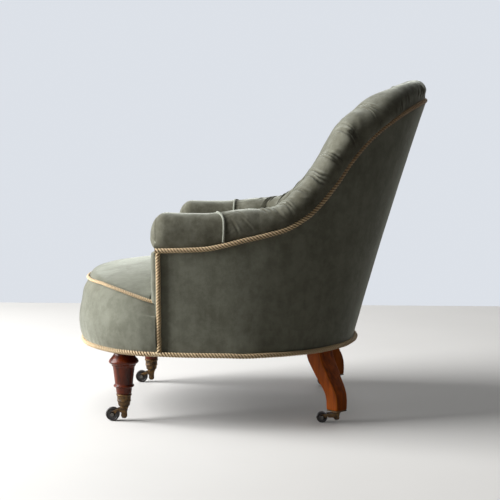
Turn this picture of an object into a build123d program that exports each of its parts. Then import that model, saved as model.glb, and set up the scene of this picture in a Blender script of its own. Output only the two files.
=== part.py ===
"""Tub chair on casters: timber frame, sprung seat, rolled and pleated back, rope trim. Millimetres, +Z up.

The chair faces -Y, the sitter's left is +X, and the origin is on the floor under the middle of the chair.
"""
from build123d import *
import os
from math import cos, radians, sin

# ---- the tub: outer shell from the rope line down to the skirt ----
ARM_HALF_WIDTH_TOP = 300.0      # half width at the rope line
ARM_HALF_WIDTH_FOOT = 295.0     # half width at the skirt
BACK_REACH_TOP = 419.5          # how far the rope line curves back behind the arm bend
BACK_REACH_FOOT = 260.0
ARM_BEND_Y = -30.0              # where the straight arms turn into the curved back
ARM_FRONT_Y = -188.0
ARM_TAPER_TOP = 10.0            # the straight arms draw in towards the front
ARM_TAPER_FOOT = 14.0
SKIRT_Z = 160.0
COVER_HOLLOW = 4.0              # the outer back is slightly hollow between its ends
MM_PER_DEGREE = 10.0            # along the straight arms one degree of turn is this long
ROPE_LINE = [(-190, 375.5), (-90, 380), (0, 399), (80, 419), (130, 447), (180, 501), (225, 565),
             (270, 614), (330, 657), (388, 689)]                       # Y, height of the rope line
ROLL_HEIGHT = [(-190, 72), (-50, 66), (0, 61), (60, 56), (90, 68), (127, 90), (150, 100), (190, 100),
               (215, 92), (240, 82), (266, 72), (300, 62), (347, 50), (388, 41)]
ROLL_THICKNESS = [(-190, 82), (0, 84), (130, 92), (225, 98), (388, 96)]
FOOT_THICKNESS = [(-190, 78), (0, 82), (150, 100), (388, 116)]
ROLL_BULGE = 5.0                # the roll overhangs the rope line by this much

# ---- pleats and tufts of the inside back ----
PLEAT_TURNS = [8, 17, 24, 30.5, 38, 46, 59, 74.5, 90]
PLEAT_HALF_SPREAD = 1.6
PLEAT_DEPTH = 4.0
TUFT_DEPTH = 11.0
TUFT_ROWS = 4
PUFF = 4.0
ARM_SEAM_TURN = -1.6            # the pleated back meets the smooth arm pad at this turn
ARM_TURNS = [-15.7, -12, -8, -4]
NOSE = [(-15.7, 0), (-16.2, 1.5), (-16.6, 5), (-16.9, 12)]      # turn, how far the roll is drawn in
NOSE_LIFT = 3.0                 # the nose ends this far above the rope line
SHALLOW_ROW, DEEP_ROW = 40.0, 62.0    # rows closer than this fade out towards the arms
BUTTON_RADIUS, BUTTON_HEIGHT, BUTTON_LIFT = 6.5, 3.5, 12.4
WING_TURN = 42.0                # the stuffing's wings end here and its middle part begins

# ---- timber and inner layers, measured inward from the outer cover ----
COVER_THICKNESS = 2.5
FRAME_OUTER, FRAME_INNER = 5.5, 28.0
LINING_OUTER, LINING_INNER = 29.0, 31.0
STUFFING_OUTER = 32.0
SKIN = 2.0
SKIN_GAP = 0.4
RAIL_LOW, RAIL_HIGH = 163.2, 213.0
TOP_RAIL_DEPTH = 45.0
CORNER_BLOCK = [(176, -184), (236, -184), (236, -191), (206, -248), (176, -276)]
CORNER_BLOCK_HEIGHT = 40.0
GLUE_LINE = 0.2
POST_GAP = 0.8
TUCK_Z = 262.0                  # the inside covers are tucked in below the seat's surface

# ---- the seat ----
SEAT_CENTRE_Y = -160.0
SEAT_HALF_WIDTH, SEAT_REACH = 285.0, 226.5
SEAT_CORNER_ANGLE = 8.5         # where the border meets the arm, round the front curve
SHOULDER_ANGLE = 10.5           # where the seat's own padding starts, just ahead of the arm facing
UPWARD = (0, 0, 1)
BORDER_LOW = 157.0
BORDER_TOP = [(8, 263), (18, 273), (30, 283.5), (48, 293), (90, 293)]   # angle round the front, height
SEAT_CROWN = [(-400, 292), (-379, 300), (-359, 313), (-335, 321), (-303, 328), (-268, 333),
              (-233, 337), (-100, 343), (0, 341), (100, 333), (200, 325)]
SEAT_EDGE_Z = 266.0
SEAT_REAR_TURN = -12.6          # where the seat's sides pass behind the arm facings
STUFFING_INSET, COVER_INSET, HESSIAN_INSET = 12.5, 10.5, 50.0
HESSIAN_THICKNESS, CLOTH_THICKNESS = 1.6, 1.0
TALLER_THAN_CROWN = 150.0
SEAT_FLOOR_Z = 247.0
SPRING_ROWS = (-215.0, -95.0, 25.0)
SPRING_COLUMNS = (-105.0, 0.0, 105.0)
SPRING_RADIUS, SPRING_WIRE, SPRING_TURNS = 34.0, 1.8, 4
SPRING_LOW, SPRING_HIGH = 166.0, 241.0

# ---- rope trim ----
ROPE_RADIUS = 5.2
ROPE_OUTSET = 5.6               # from the cover to the rope's middle
BORDER_ROPE_SHIFT = 2.6         # the rope stands further out under the bulging front band
PIPING_RADIUS = 2.4

# ---- front legs, turned: height, radius from the top down ----
FRONT_LEG_X, FRONT_LEG_Y = 216.0, -266.0
FRONT_LEG_PROFILE = [(162.8, 25), (152.6, 25), (148.4, 21), (144, 24), (136, 30), (130, 32), (125, 30),
                     (121.8, 25.5), (118.6, 23.7), (81.4, 19), (79, 21.8), (77, 22.3), (75, 21.8),
                     (71.8, 17), (60, 15.6), (59.2, 13.4), (36, 10.4)]
TENON_RADIUS, TENON_TOP = 9.0, 198.0
FRONT_LEG_HOLE = 27.0           # radius cut out of the cloth under the seat
CUP_RIM_Z, CUP_LOW_Z = 59.0, 33.0

# ---- rear legs, sawn to a curve: height, outward shift, side ----
REAR_LEG_X, REAR_LEG_Y = 168.0, 152.0
REAR_LEG_PROFILE = [(162.8, -2, 41), (146, 2, 44), (132, 7, 43), (111, 20, 41), (90, 34, 38.5),
                    (75, 45, 36), (58, 53, 33.5), (43, 55, 32.5), (28.2, 55, 32)]
REAR_LEG_HOLE = 46.0            # side cut out of the cloth under the seat
PLATE_HALF_SIDE, PLATE_LOW, PLATE_HIGH = 15.0, 25.4, 28.0

# ---- casters: swivel at the leg, wheel trailing towards -Y ----
FRONT_WHEEL_RADIUS, FRONT_TRAIL = 15.0, 24.5
REAR_WHEEL_RADIUS, REAR_TRAIL = 12.0, 31.5
WHEEL_HALF_WIDTH = 6.0
CHEEK_INNER, CHEEK_OUTER = 7.0, 9.2
AXLE_RADIUS, RUNNING_CLEARANCE = 2.5, 0.05
PIN_RADIUS = 4.0


def follow(points, x):
    """Value at x of the smooth curve through hand-picked (x, value) points."""
    x = min(max(x, points[0][0]), points[-1][0])
    steps = [(b[1] - a[1]) / (b[0] - a[0]) for a, b in zip(points, points[1:])]
    inner = [2 * p * q / (p + q) if p * q > 0 else 0.0 for p, q in zip(steps, steps[1:])]
    slopes = [steps[0]] + inner + [steps[-1]]
    i = max(k for k in range(len(steps)) if points[k][0] <= x)
    (x0, y0), (x1, y1) = points[i], points[i + 1]
    span = x1 - x0
    t = (x - x0) / span
    return ((1 + 2 * t) * (1 - t) ** 2 * y0 + t * (1 - t) ** 2 * span * slopes[i]
            + t * t * (3 - 2 * t) * y1 + t * t * (t - 1) * span * slopes[i + 1])


class TubSlice:
    """An upright slice through the tub, turn degrees round from the bend of the left arm.

    Turns below 0 and above 180 lie on the straight arms, and 90 is the middle of the back.
    Places in the slice are (inward from the outer cover, above the rope line).
    """

    def __init__(self, turn):
        self.turn = turn
        side = 1 if turn <= 90 else -1
        self.lap = turn if turn <= 90 else 180 - turn
        if self.lap < 0:
            y = ARM_BEND_Y + self.lap * MM_PER_DEGREE
            forward = ((y - ARM_BEND_Y) / (ARM_FRONT_Y - ARM_BEND_Y)) ** 2
            top = (ARM_HALF_WIDTH_TOP - ARM_TAPER_TOP * forward, y)
            foot = (ARM_HALF_WIDTH_FOOT - ARM_TAPER_FOOT * forward, y)
            inward = Vector(-1, 0, 0)
        else:
            c, s = cos(radians(self.lap)), sin(radians(self.lap))
            top = (ARM_HALF_WIDTH_TOP * c, ARM_BEND_Y + BACK_REACH_TOP * s)
            foot = (ARM_HALF_WIDTH_FOOT * c, ARM_BEND_Y + BACK_REACH_FOOT * s)
            inward = Vector(-c / ARM_HALF_WIDTH_TOP, -s / BACK_REACH_TOP, 0)
        self.y = top[1]
        self.rope = Vector(side * top[0], top[1], follow(ROPE_LINE, top[1]))
        self.foot = Vector(side * foot[0], foot[1], SKIRT_Z)
        lean = self.rope - self.foot
        self.length = lean.length
        self.up = lean.normalized()
        inward = Vector(side * inward.X, inward.Y, 0).normalized()
        self.inward = (inward - self.up * inward.dot(self.up)).normalized()

    def at(self, inward, above):
        return self.rope + self.inward * inward + self.up * above

    def above_for(self, z, inward):
        """How far above the rope line (below is negative) a place this far inward has height z."""
        return (z - self.rope.Z - self.inward.Z * inward) / self.up.Z

    def face(self, start, *steps):
        """Closed flat face: a step is a place, reached by a line, or (through, end), reached by an arc."""
        return closed_face([self.at(*start)] + [
            tuple(self.at(*place) for place in step) if isinstance(step[0], tuple) else self.at(*step)
            for step in steps])


def closed_face(places):
    """Flat face through places, where a pair (through, end) is an arc of under a half circle."""
    here, edges = places[0], []
    for step in places[1:] + places[:1]:
        if isinstance(step, tuple):
            edges.append(Edge.make_three_point_arc(here, *step))
            here = step[1]
        else:
            edges.append(Edge.make_line(here, step))
            here = step
    return Face(Wire(edges))


def skin_loft(slices):
    """Solid stretched over flat faces from first to last."""
    return loft(slices, ruled=True)


def tub_turns():
    """Turns of the slices that the outer cover and the ropes on it share."""
    return spread(-15.5, 195.5, 61)


def spread(start, end, count):
    return [start + (end - start) * k / (count - 1) for k in range(count)]


# ---------------------------------------------------------------- padding of the back and the arms

def all_pleats():
    return PLEAT_TURNS + [180 - turn for turn in reversed(PLEAT_TURNS[:-1])]


def between_pleats():
    turns = all_pleats()
    return [(a + b) / 2 for a, b in zip(turns, turns[1:])]


def nearness(turn, marks):
    """1 on a mark, falling to 0 two half-spreads away."""
    return max(0.0, 1 - min(abs(turn - mark) for mark in marks) / (2 * PLEAT_HALF_SPREAD))


def row_places(cut, roll, thickness, inset):
    """Places of the inner face from under the roll to the tuck, drawn in at the tufts."""
    foot_thickness = follow(FOOT_THICKNESS, cut.y)
    top_above, low_above = 0.5 * roll, cut.above_for(TUCK_Z, foot_thickness)
    spacing = (top_above - low_above) / (TUFT_ROWS + 1)
    fade = min(max((spacing - SHALLOW_ROW) / (DEEP_ROW - SHALLOW_ROW), 0.0), 1.0)
    places = []
    for row in range(1, TUFT_ROWS + 2):
        part = row / (TUFT_ROWS + 1)
        on_pleat = nearness(cut.turn, all_pleats())
        between = nearness(cut.turn, between_pleats())
        tuft = {1: on_pleat, 2: between * fade, 3: on_pleat * fade, 4: between * fade}.get(row, 0.0)
        if cut.lap < 0:
            tuft = 0.0
        inward = thickness + (foot_thickness - thickness) * part - TUFT_DEPTH * tuft - inset
        places.append((inward, top_above - spacing * row))
    return places


def pad_profile(cut, inset):
    """Roll and inner face of the padding, from the rope line over the top and down to the tuck."""
    roll, thickness = follow(ROLL_HEIGHT, cut.y), follow(ROLL_THICKNESS, cut.y)
    pleat = PLEAT_DEPTH * nearness(cut.turn, all_pleats()) if cut.lap >= 0 else 0.0
    start = (0.8 + inset, 1.0)
    steps = [((inset + pleat - ROLL_BULGE, 0.40 * roll), (0.8 * (inset + pleat), 0.74 * roll - 0.6 * inset)),
             ((0.42 * thickness, roll - pleat - inset),
              (thickness - 0.8 * inset, 0.5 * roll - 0.6 * inset))]
    here = steps[-1][1]
    for place in row_places(cut, roll, thickness, inset):
        middle = ((here[0] + place[0]) / 2 + PUFF, (here[1] + place[1]) / 2)
        steps.append((middle, place))
        here = place
    return start, steps


def pad_slice(cut, inset):
    """Stuffing: a hooked shape that lies over the top rail and hangs down inside the lining."""
    start, steps = pad_profile(cut, inset)
    low = steps[-1][1][1]
    return cut.face(start, *steps, (STUFFING_OUTER, low), (STUFFING_OUTER, 1.0))


def cover_slice(cut, inset):
    """Cover: the band between the padding's outline and the same outline one skin further in."""
    start, steps = pad_profile(cut, inset)
    inner_start, inner_steps = pad_profile(cut, inset + SKIN)
    ends = [inner_start] + [end for _, end in inner_steps]
    back = [(through, ends[k]) for k, (through, _) in reversed(list(enumerate(inner_steps)))]
    return cut.face(start, *steps, ends[-1], *back)


def mirrored(shape):
    return shape.mirror(Plane.YZ)


def back_cuts():
    """Slices of the inside back: three at each pleat and one between each two, a wing's end included."""
    marks = all_pleats()
    near = [mark + shift for mark in marks for shift in (-PLEAT_HALF_SPREAD, 0, PLEAT_HALF_SPREAD)]
    ends = [ARM_SEAM_TURN + 0.1, 3.0, 177.0, 180 - ARM_SEAM_TURN - 0.1]
    wing_ends = [WING_TURN, 180 - WING_TURN]
    return [TubSlice(turn) for turn in sorted(set(near + between_pleats() + ends + wing_ends))]


def nose_slice(turn, inset):
    """Slice of the roll alone, above the rope line, drawn in towards the rounded nose."""
    cut = TubSlice(turn)
    start, steps = pad_profile(cut, inset)
    inner = steps[1][1][0]
    return cut.face(start, *steps[:2], (inner, NOSE_LIFT + inset), (start[0], NOSE_LIFT + inset))


def make_back_padding():
    cuts = back_cuts()
    wing = skin_loft([pad_slice(cut, SKIN + SKIN_GAP) for cut in cuts if cut.turn <= WING_TURN])
    middle = skin_loft([pad_slice(cut, SKIN + SKIN_GAP) for cut in cuts
                        if WING_TURN <= cut.turn <= 180 - WING_TURN])
    return {"wing_stuffing_left": wing, "wing_stuffing_right": mirrored(wing), "back_stuffing": middle,
            "back_cover": skin_loft([cover_slice(cut, 0) for cut in cuts])}


def make_arm_padding():
    cuts = [TubSlice(turn) for turn in ARM_TURNS + [ARM_SEAM_TURN - 0.1]]
    stuffing = skin_loft([pad_slice(cut, SKIN + SKIN_GAP) for cut in cuts])
    nose = skin_loft([nose_slice(turn, inset) for turn, inset in NOSE])
    cover = skin_loft([cover_slice(cut, 0) for cut in cuts]) + nose
    piping = make_piping(TubSlice(ARM_SEAM_TURN))
    return {"arm_stuffing_left": stuffing, "arm_stuffing_right": mirrored(stuffing),
            "arm_cover_left": cover, "arm_cover_right": mirrored(cover),
            "arm_piping_left": piping, "arm_piping_right": mirrored(piping)}


def make_piping(cut):
    """Piped seam across the arm roll, along the padding's outline."""
    start, steps = pad_profile(cut, -PIPING_RADIUS - 1.3)
    edges, here = [], cut.at(*start)
    for through, end in steps[:3]:
        edges.append(Edge.make_three_point_arc(here, cut.at(*through), cut.at(*end)))
        here = cut.at(*end)
    places = [edge @ (k / 5) for edge in edges for k in range(5)] + [edges[-1] @ 1]
    return tube(places[2:], PIPING_RADIUS)


def make_buttons():
    """Covered buttons at the tufts, facing out of the inner face."""
    buttons = []
    for row, marks in enumerate((all_pleats(), between_pleats(), all_pleats(), between_pleats()), 1):
        for turn in marks:
            cut = TubSlice(turn)
            roll, thickness = follow(ROLL_HEIGHT, cut.y), follow(ROLL_THICKNESS, cut.y)
            places = row_places(cut, roll, thickness, 0)
            spacing = places[0][1] - places[1][1]
            if row > 1 and spacing < DEEP_ROW:
                continue
            inward, above = places[row - 1]
            seat = Plane(cut.at(inward + BUTTON_LIFT, above), z_dir=cut.inward)
            buttons.append(seat * dome_button())
    return {"back_buttons": Compound(children=buttons)}


def dome_button():
    disc = Pos(0, 0, BUTTON_HEIGHT / 2) * Cylinder(BUTTON_RADIUS, BUTTON_HEIGHT)
    return fillet(disc.edges().sort_by(Axis.Z)[-1:], BUTTON_HEIGHT * 0.7)


# ---------------------------------------------------------------- timber frame and lining

def member(turns, low, high, outer=FRAME_OUTER, inner=FRAME_INNER):
    """Piece between two depths, following the tub; low and high give its ends for (slice, inward)."""
    faces = []
    for turn in turns:
        cut = TubSlice(turn)
        faces.append(cut.face((outer, low(cut, outer)), (inner, low(cut, inner)),
                              (inner, high(cut, inner)), (outer, high(cut, outer))))
    return skin_loft(faces)


def level(z):
    return lambda cut, inward: cut.above_for(z, inward)


def below_rope(depth):
    return lambda cut, inward: -depth


def seat_curve(angle, inset, z):
    """Place on the seat's front plan curve, drawn in by inset."""
    c, s = cos(radians(angle)), sin(radians(angle))
    return Vector((SEAT_HALF_WIDTH - inset) * c, SEAT_CENTRE_Y - (SEAT_REACH - inset) * s, z)


def front_member(low, high, outer, inner, first=9.0, count=21):
    """Curved piece along the seat's front between two depths and two heights."""
    faces = []
    for angle in spread(first, 180 - first, count):
        faces.append(closed_face([seat_curve(angle, outer, low), seat_curve(angle, inner, low),
                                  seat_curve(angle, inner, high), seat_curve(angle, outer, high)]))
    return skin_loft(faces)


def make_seat_frame():
    bores = [Pos(side * FRONT_LEG_X, FRONT_LEG_Y, TENON_TOP / 2)
             * Cylinder(TENON_RADIUS + 0.2, TENON_TOP + 2) for side in (1, -1)]
    front = front_member(RAIL_LOW, RAIL_HIGH, 15, 43) - bores
    side = member(spread(-15.6, 8, 6), level(RAIL_LOW), level(RAIL_HIGH))
    rear_bores = [Pos(side_x * REAR_LEG_X, REAR_LEG_Y, TENON_TOP / 2)
                  * Cylinder(TENON_RADIUS + 0.2, TENON_TOP + 2) for side_x in (1, -1)]
    back = member(spread(8.2, 171.8, 23), level(RAIL_LOW), level(RAIL_HIGH), inner=46) - rear_bores
    block = Polygon(*CORNER_BLOCK, align=None)
    corner = extrude(Pos(0, 0, RAIL_LOW + 2) * block, CORNER_BLOCK_HEIGHT, dir=UPWARD)
    return {"seat_front_rail": front, "seat_side_rail_left": side, "seat_side_rail_right": mirrored(side),
            "seat_back_rail": back, "corner_blocks": Compound(children=[corner, mirrored(corner)])}


def make_upper_frame():
    rail_foot = below_rope(TOP_RAIL_DEPTH)
    rail_head = below_rope(1.5)
    post_foot = level(RAIL_HIGH + GLUE_LINE)
    post_head = below_rope(TOP_RAIL_DEPTH + POST_GAP)
    arm_post = member([-15.4, -11.6], post_foot, post_head)
    arm_rail = member(spread(-15.4, 20, 12), rail_foot, rail_head)
    crest = member(spread(20.1, 159.9, 31), rail_foot, rail_head)
    wing_post = member([17.5, 20, 22.5], post_foot, post_head)
    upright = member([58.5, 61.5, 64.5], post_foot, post_head)
    return {"arm_post_left": arm_post, "arm_post_right": mirrored(arm_post),
            "arm_rail_left": arm_rail, "arm_rail_right": mirrored(arm_rail), "crest_rail": crest,
            "back_posts": Compound(children=[wing_post, mirrored(wing_post), upright, mirrored(upright)])}


def make_linings():
    turns = spread(-15.2, 195.2, 47)
    hessian = member(turns, level(TUCK_Z), below_rope(2), LINING_OUTER, LINING_INNER)
    outer = skin_loft([outer_cover_slice(TubSlice(turn)) for turn in tub_turns()])
    return {"back_hessian": hessian, "outer_cover": outer}


def outer_cover_slice(cut):
    """Outer cover from the skirt to the rope line, slightly hollow round the back."""
    foot = cut.above_for(SKIRT_Z - 1, 0)
    hollow = COVER_HOLLOW * max(sin(radians(cut.lap)), 0.0) * 0.5
    middle = foot / 2
    return cut.face((0, foot), ((hollow + 0.05, middle), (0, -0.5)), (COVER_THICKNESS, -0.5),
                    ((COVER_THICKNESS + hollow + 0.05, middle), (COVER_THICKNESS, foot)))


# ---------------------------------------------------------------- seat

def arc_chain(places):
    """Arcs through places taken three at a time: an odd number of places."""
    return [Edge.make_three_point_arc(*places[k:k + 3]) for k in range(0, len(places) - 2, 2)]


def seat_plan(inset, z):
    """Seat outline: full width in front of the arms, inside the padding behind them."""
    front = [seat_curve(angle, inset, z) for angle in spread(SHOULDER_ANGLE, 180 - SHOULDER_ANGLE, 13)]
    rear = []
    for turn in spread(SEAT_REAR_TURN, 180 - SEAT_REAR_TURN, 29):
        cut = TubSlice(turn)
        inward = follow(FOOT_THICKNESS, cut.y) + PUFF + inset / 3
        place = cut.at(inward, cut.above_for(SEAT_EDGE_Z, inward))
        rear.append(Vector(place.X, place.Y, z))
    left = Vector(rear[0].X, front[0].Y, z)
    right = Vector(rear[-1].X, front[0].Y, z)
    edges = arc_chain(front) + [Edge.make_line(front[-1], right), Edge.make_line(right, rear[-1])]
    edges += arc_chain(rear[::-1]) + [Edge.make_line(rear[0], left), Edge.make_line(left, front[0])]
    return Face(Wire(edges))


def crown_block(lift):
    """Block under the seat's crown, wider than the seat."""
    half = SEAT_HALF_WIDTH + 5
    faces = []
    for y, z in SEAT_CROWN:
        faces.append(closed_face([Vector(-half, y, SEAT_FLOOR_Z - 20), Vector(-half, y, SEAT_EDGE_Z + lift - 3),
                                  (Vector(0, y, z + lift), Vector(half, y, SEAT_EDGE_Z + lift - 3)),
                                  Vector(half, y, SEAT_FLOOR_Z - 20)]))
    return skin_loft(faces)


def make_seat_upholstery():
    column = extrude(seat_plan(STUFFING_INSET, SEAT_FLOOR_Z), TALLER_THAN_CROWN, dir=UPWARD)
    stuffing = crown_block(-SKIN - SKIN_GAP) & column
    wider_column = extrude(seat_plan(COVER_INSET, SEAT_EDGE_Z - 12), TALLER_THAN_CROWN, dir=UPWARD)
    cover = (crown_block(0) & wider_column) - crown_block(-SKIN)
    padding = front_member(RAIL_LOW, SEAT_FLOOR_Z - 1, COVER_THICKNESS + 2, 14.5)
    border = skin_loft([border_slice(angle) for angle in
                        spread(SEAT_CORNER_ANGLE, 180 - SEAT_CORNER_ANGLE, 31)])
    hessian = extrude(seat_plan(HESSIAN_INSET, SEAT_FLOOR_Z - 3), HESSIAN_THICKNESS, dir=UPWARD)
    under = extrude(bottom_plan(), CLOTH_THICKNESS, dir=UPWARD)
    clear = [Pos(side * FRONT_LEG_X, FRONT_LEG_Y, SKIRT_Z) * Cylinder(FRONT_LEG_HOLE, 20) for side in (1, -1)]
    clear += [Pos(side * REAR_LEG_X, REAR_LEG_Y, SKIRT_Z) * Rot(0, 0, 45)
              * Box(REAR_LEG_HOLE, REAR_LEG_HOLE, 20) for side in (1, -1)]
    return {"seat_stuffing": stuffing, "seat_cover": cover, "seat_border_padding": padding,
            "seat_border_cover": border, "seat_hessian": hessian, "bottom_cloth": under - clear}


def border_slice(angle):
    """Front band of the seat: bulges forward and draws in to the rope at its top."""
    top = follow(BORDER_TOP, angle if angle <= 90 else 180 - angle)
    outline = [(0, BORDER_LOW), (-9, 195), (-8, 230), (-3.5, top - 26), (8, top)]
    outer = [seat_curve(angle, inset, z) for inset, z in outline]
    inner = [seat_curve(angle, inset + COVER_THICKNESS, z) for inset, z in outline]
    return closed_face([outer[0], (outer[1], outer[2]), (outer[3], outer[4]), inner[4],
                        (inner[3], inner[2]), (inner[1], inner[0])])


def bottom_plan():
    """Outline of the cloth under the seat."""
    front = [seat_curve(angle, 14, SKIRT_Z - 2) for angle in spread(SEAT_CORNER_ANGLE, 180 - SEAT_CORNER_ANGLE, 13)]
    rear = []
    for turn in spread(-15, 195, 21):
        foot = TubSlice(turn).foot
        inward = TubSlice(turn).inward
        rear.append(Vector(foot.X + 10 * inward.X, foot.Y + 10 * inward.Y, SKIRT_Z - 2))
    edges = arc_chain(front) + [Edge.make_line(front[-1], rear[-1])]
    edges += arc_chain(rear[::-1]) + [Edge.make_line(rear[0], front[0])]
    return Face(Wire(edges))


def make_springs():
    """Coil springs between the webbing and the hessian, each one unbroken tube."""
    height = SPRING_HIGH - SPRING_LOW
    path = Helix(pitch=height / SPRING_TURNS, height=height, radius=SPRING_RADIUS)
    coil = sweep(Plane(path @ 0, z_dir=path % 0) * Circle(SPRING_WIRE), path=path)
    springs = [Pos(x, y, SPRING_LOW) * coil for y in SPRING_ROWS for x in SPRING_COLUMNS]
    return {"seat_springs": Compound(children=springs)}


def make_webbing():
    """Webbing strips under the springs, two layers crossing."""
    width, thickness = 50.0, 1.3
    across = [Pos(0, y, RAIL_LOW - 0.9) * Box(length, width, thickness)
              for y, length in zip(SPRING_ROWS, (500, 546, 550))]
    along = [Pos(x, -72, RAIL_LOW - 2.4) * Box(width, 534, thickness) for x in SPRING_COLUMNS]
    return {"seat_webbing": Compound(children=across + along)}


# ---------------------------------------------------------------- rope trim and arm facings

def tube(places, radius):
    """Round tube through places, its sections square to the way it runs."""
    faces = []
    last = len(places) - 1
    for k, place in enumerate(places):
        way = (places[min(k + 1, last)] - places[max(k - 1, 0)]).normalized()
        flat = Vector(0, 0, 1).cross(way)
        side = (flat if flat.length > 0.2 else Vector(0, 1, 0)).normalized()
        rise = way.cross(side)
        ring = [place + side * radius * cos(radians(a)) + rise * radius * sin(radians(a))
                for a in range(0, 360, 45)]
        faces.append(Face(Wire([Edge.make_three_point_arc(ring[i], ring[i + 1], ring[(i + 2) % 8])
                                for i in range(0, 8, 2)])))
    return skin_loft(faces)


def make_ropes():
    outset = -ROPE_OUTSET
    top = tube([TubSlice(turn).at(outset, -1) for turn in tub_turns()], ROPE_RADIUS)
    seat = tube([seat_curve(angle, 5, follow(BORDER_TOP, min(angle, 180 - angle)) + 4)
                 for angle in spread(9.5, 170.5, 39)], ROPE_RADIUS - 0.6)
    half = [seat_curve(angle, outset - BORDER_ROPE_SHIFT * sin(radians(angle)) ** 0.5, BORDER_LOW)
            for angle in spread(90, 10, 14)]
    for turn in tub_turns()[1:31]:
        cut = TubSlice(turn)
        foot = cut.foot + cut.inward * outset
        half.append(Vector(foot.X, foot.Y, BORDER_LOW))
    left = tube(half, ROPE_RADIUS)
    front_slice = TubSlice(-15.0)
    upright = tube([front_slice.at(outset, front_slice.above_for(z, 0)) for z in (164, 230, 300, 367)],
                   ROPE_RADIUS - 0.3)
    return {"top_rope": top, "seat_rope": seat, "bottom_rope": left + mirrored(left),
            "arm_rope_left": upright, "arm_rope_right": mirrored(upright)}


def make_facings():
    """Padded panels that close the fronts of the arms, slightly rounded."""
    low, high = TubSlice(-15.8), TubSlice(-16.2)
    faces = []
    for z in (270, 300, 340, 368):
        outer = low.at(1.5, low.above_for(z, 1.5))
        inner = low.at(76, low.above_for(z, 76))
        back_y, front_y = ARM_FRONT_Y + 0.3, high.y - 1.0
        faces.append(closed_face([Vector(outer.X, back_y, z), Vector(inner.X, back_y, z),
                                  (Vector((outer.X + inner.X) / 2, front_y - 2, z), Vector(outer.X, back_y - 2, z))]))
    facing = skin_loft(faces)
    return {"arm_facing_left": facing, "arm_facing_right": mirrored(facing)}


# ---------------------------------------------------------------- legs and casters

def turned(profile):
    """Solid of revolution about Z from (height, radius) places, top first."""
    outline = [(0, profile[0][0])] + [(radius, z) for z, radius in profile] + [(0, profile[-1][0])]
    return revolve(make_face(Plane.XZ * Polyline(*outline, close=True)), Axis.Z)


def front_leg():
    leg = turned(FRONT_LEG_PROFILE) + Pos(0, 0, (TENON_TOP + 160) / 2) * Cylinder(TENON_RADIUS, TENON_TOP - 160)
    return leg - Pos(0, 0, 46) * Cylinder(PIN_RADIUS + 0.6, 22)


def rear_leg():
    """Curved leg of square section set cornerwise, its shift along the outward diagonal."""
    faces = []
    for z, shift, side in REAR_LEG_PROFILE:
        place = Pos(shift / 2 ** 0.5, shift / 2 ** 0.5, z) * Rot(0, 0, 45)
        faces.append(place * Rectangle(side, side))
    leg = loft(faces) + Pos(0, 0, (TENON_TOP + 160) / 2) * Cylinder(TENON_RADIUS, TENON_TOP - 160)
    foot = REAR_LEG_PROFILE[-1][1] / 2 ** 0.5
    return leg - Pos(foot, foot, 36) * Cylinder(PIN_RADIUS + 0.6, 18)


def caster_cup():
    """Brass cup on the turned leg's end, with a rim bead and a hole for the swivel pin."""
    cup = turned([(CUP_RIM_Z, 16.2), (55.5, 16.2), (54.5, 14.9), (46, 14.1), (45.4, 14.6), (43.4, 14.4),
                  (42.8, 13.6), (CUP_LOW_Z + 1, 12), (CUP_LOW_Z, 11)])
    room = turned([(CUP_RIM_Z + 1, 13.7), (CUP_RIM_Z, 13.6), (35.8, 10.6)])
    return cup - room - Pos(0, 0, 34) * Cylinder(PIN_RADIUS + RUNNING_CLEARANCE, 8)


def caster_plate():
    plate = Pos(0, 0, (PLATE_LOW + PLATE_HIGH) / 2) * Rot(0, 0, 45) * Box(
        2 * PLATE_HALF_SIDE, 2 * PLATE_HALF_SIDE, PLATE_HIGH - PLATE_LOW)
    return plate - Pos(0, 0, 27) * Cylinder(PIN_RADIUS + RUNNING_CLEARANCE, 8)


def plate_screws():
    """Four screws with domed heads that hold a rear caster's plate."""
    reach = PLATE_HALF_SIDE - 4
    head = Pos(0, 0, PLATE_LOW - 0.3) * Cylinder(2.4, 0.6)
    return [Rot(0, 0, 45) * Pos(x, y, 0) * head for x in (-reach, reach) for y in (-reach, reach)]


def caster_fork(top, wheel_radius, trail, hub_radius):
    """Swivelling horn: pin, conical hub with a tail behind the wheel, and two cheeks."""
    axle = (-trail, wheel_radius)
    tail_front = -trail + wheel_radius + 1.2
    hub = turned([(top, hub_radius), (top - 3, hub_radius), (top - 12, hub_radius - 3), (7, 5)])
    hub &= Pos(0, tail_front + 25, top / 2) * Box(40, 50, top + 2)
    outline = make_hull((Pos(*axle) * Circle(6.4) + Pos(-1.5, top - 8) * Circle(5.6)).edges())
    cheek = extrude(Plane.YZ.offset(CHEEK_INNER) * outline, CHEEK_OUTER - CHEEK_INNER)
    pin = Pos(0, 0, top + 6) * Cylinder(PIN_RADIUS, 16)
    bridge = Pos(0, (tail_front + 4) / 2, top - 8) * Box(2 * CHEEK_OUTER, 4 - tail_front, 9)
    fork = hub + pin + bridge + cheek + mirrored(cheek)
    return fork - Pos(0, *axle) * Rot(0, 90, 0) * Cylinder(AXLE_RADIUS + RUNNING_CLEARANCE, 40)


def caster_wheel(radius, trail):
    """Wheel with rounded edges, a raised hub and a running bore."""
    w = WHEEL_HALF_WIDTH
    rim = Pos(0, -trail, radius) * Rot(0, 90, 0)
    body = fillet(Cylinder(radius, 2 * w).edges(), 1.6)
    body -= [Pos(0, 0, side * w) * (Cylinder(radius - 3, 1.6) - Cylinder(5, 1.6)) for side in (1, -1)]
    hub = Cylinder(4.6, 2 * w + 1)
    return rim * (body + hub - Cylinder(AXLE_RADIUS + RUNNING_CLEARANCE, 40))


def caster_axle(radius, trail):
    pin = Cylinder(AXLE_RADIUS, 2 * CHEEK_OUTER + 1)
    heads = [Pos(0, 0, side * (CHEEK_OUTER + 0.65)) * Cylinder(3.9, 1.1) for side in (1, -1)]
    return Pos(0, -trail, radius) * Rot(0, 90, 0) * (pin + heads)


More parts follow.
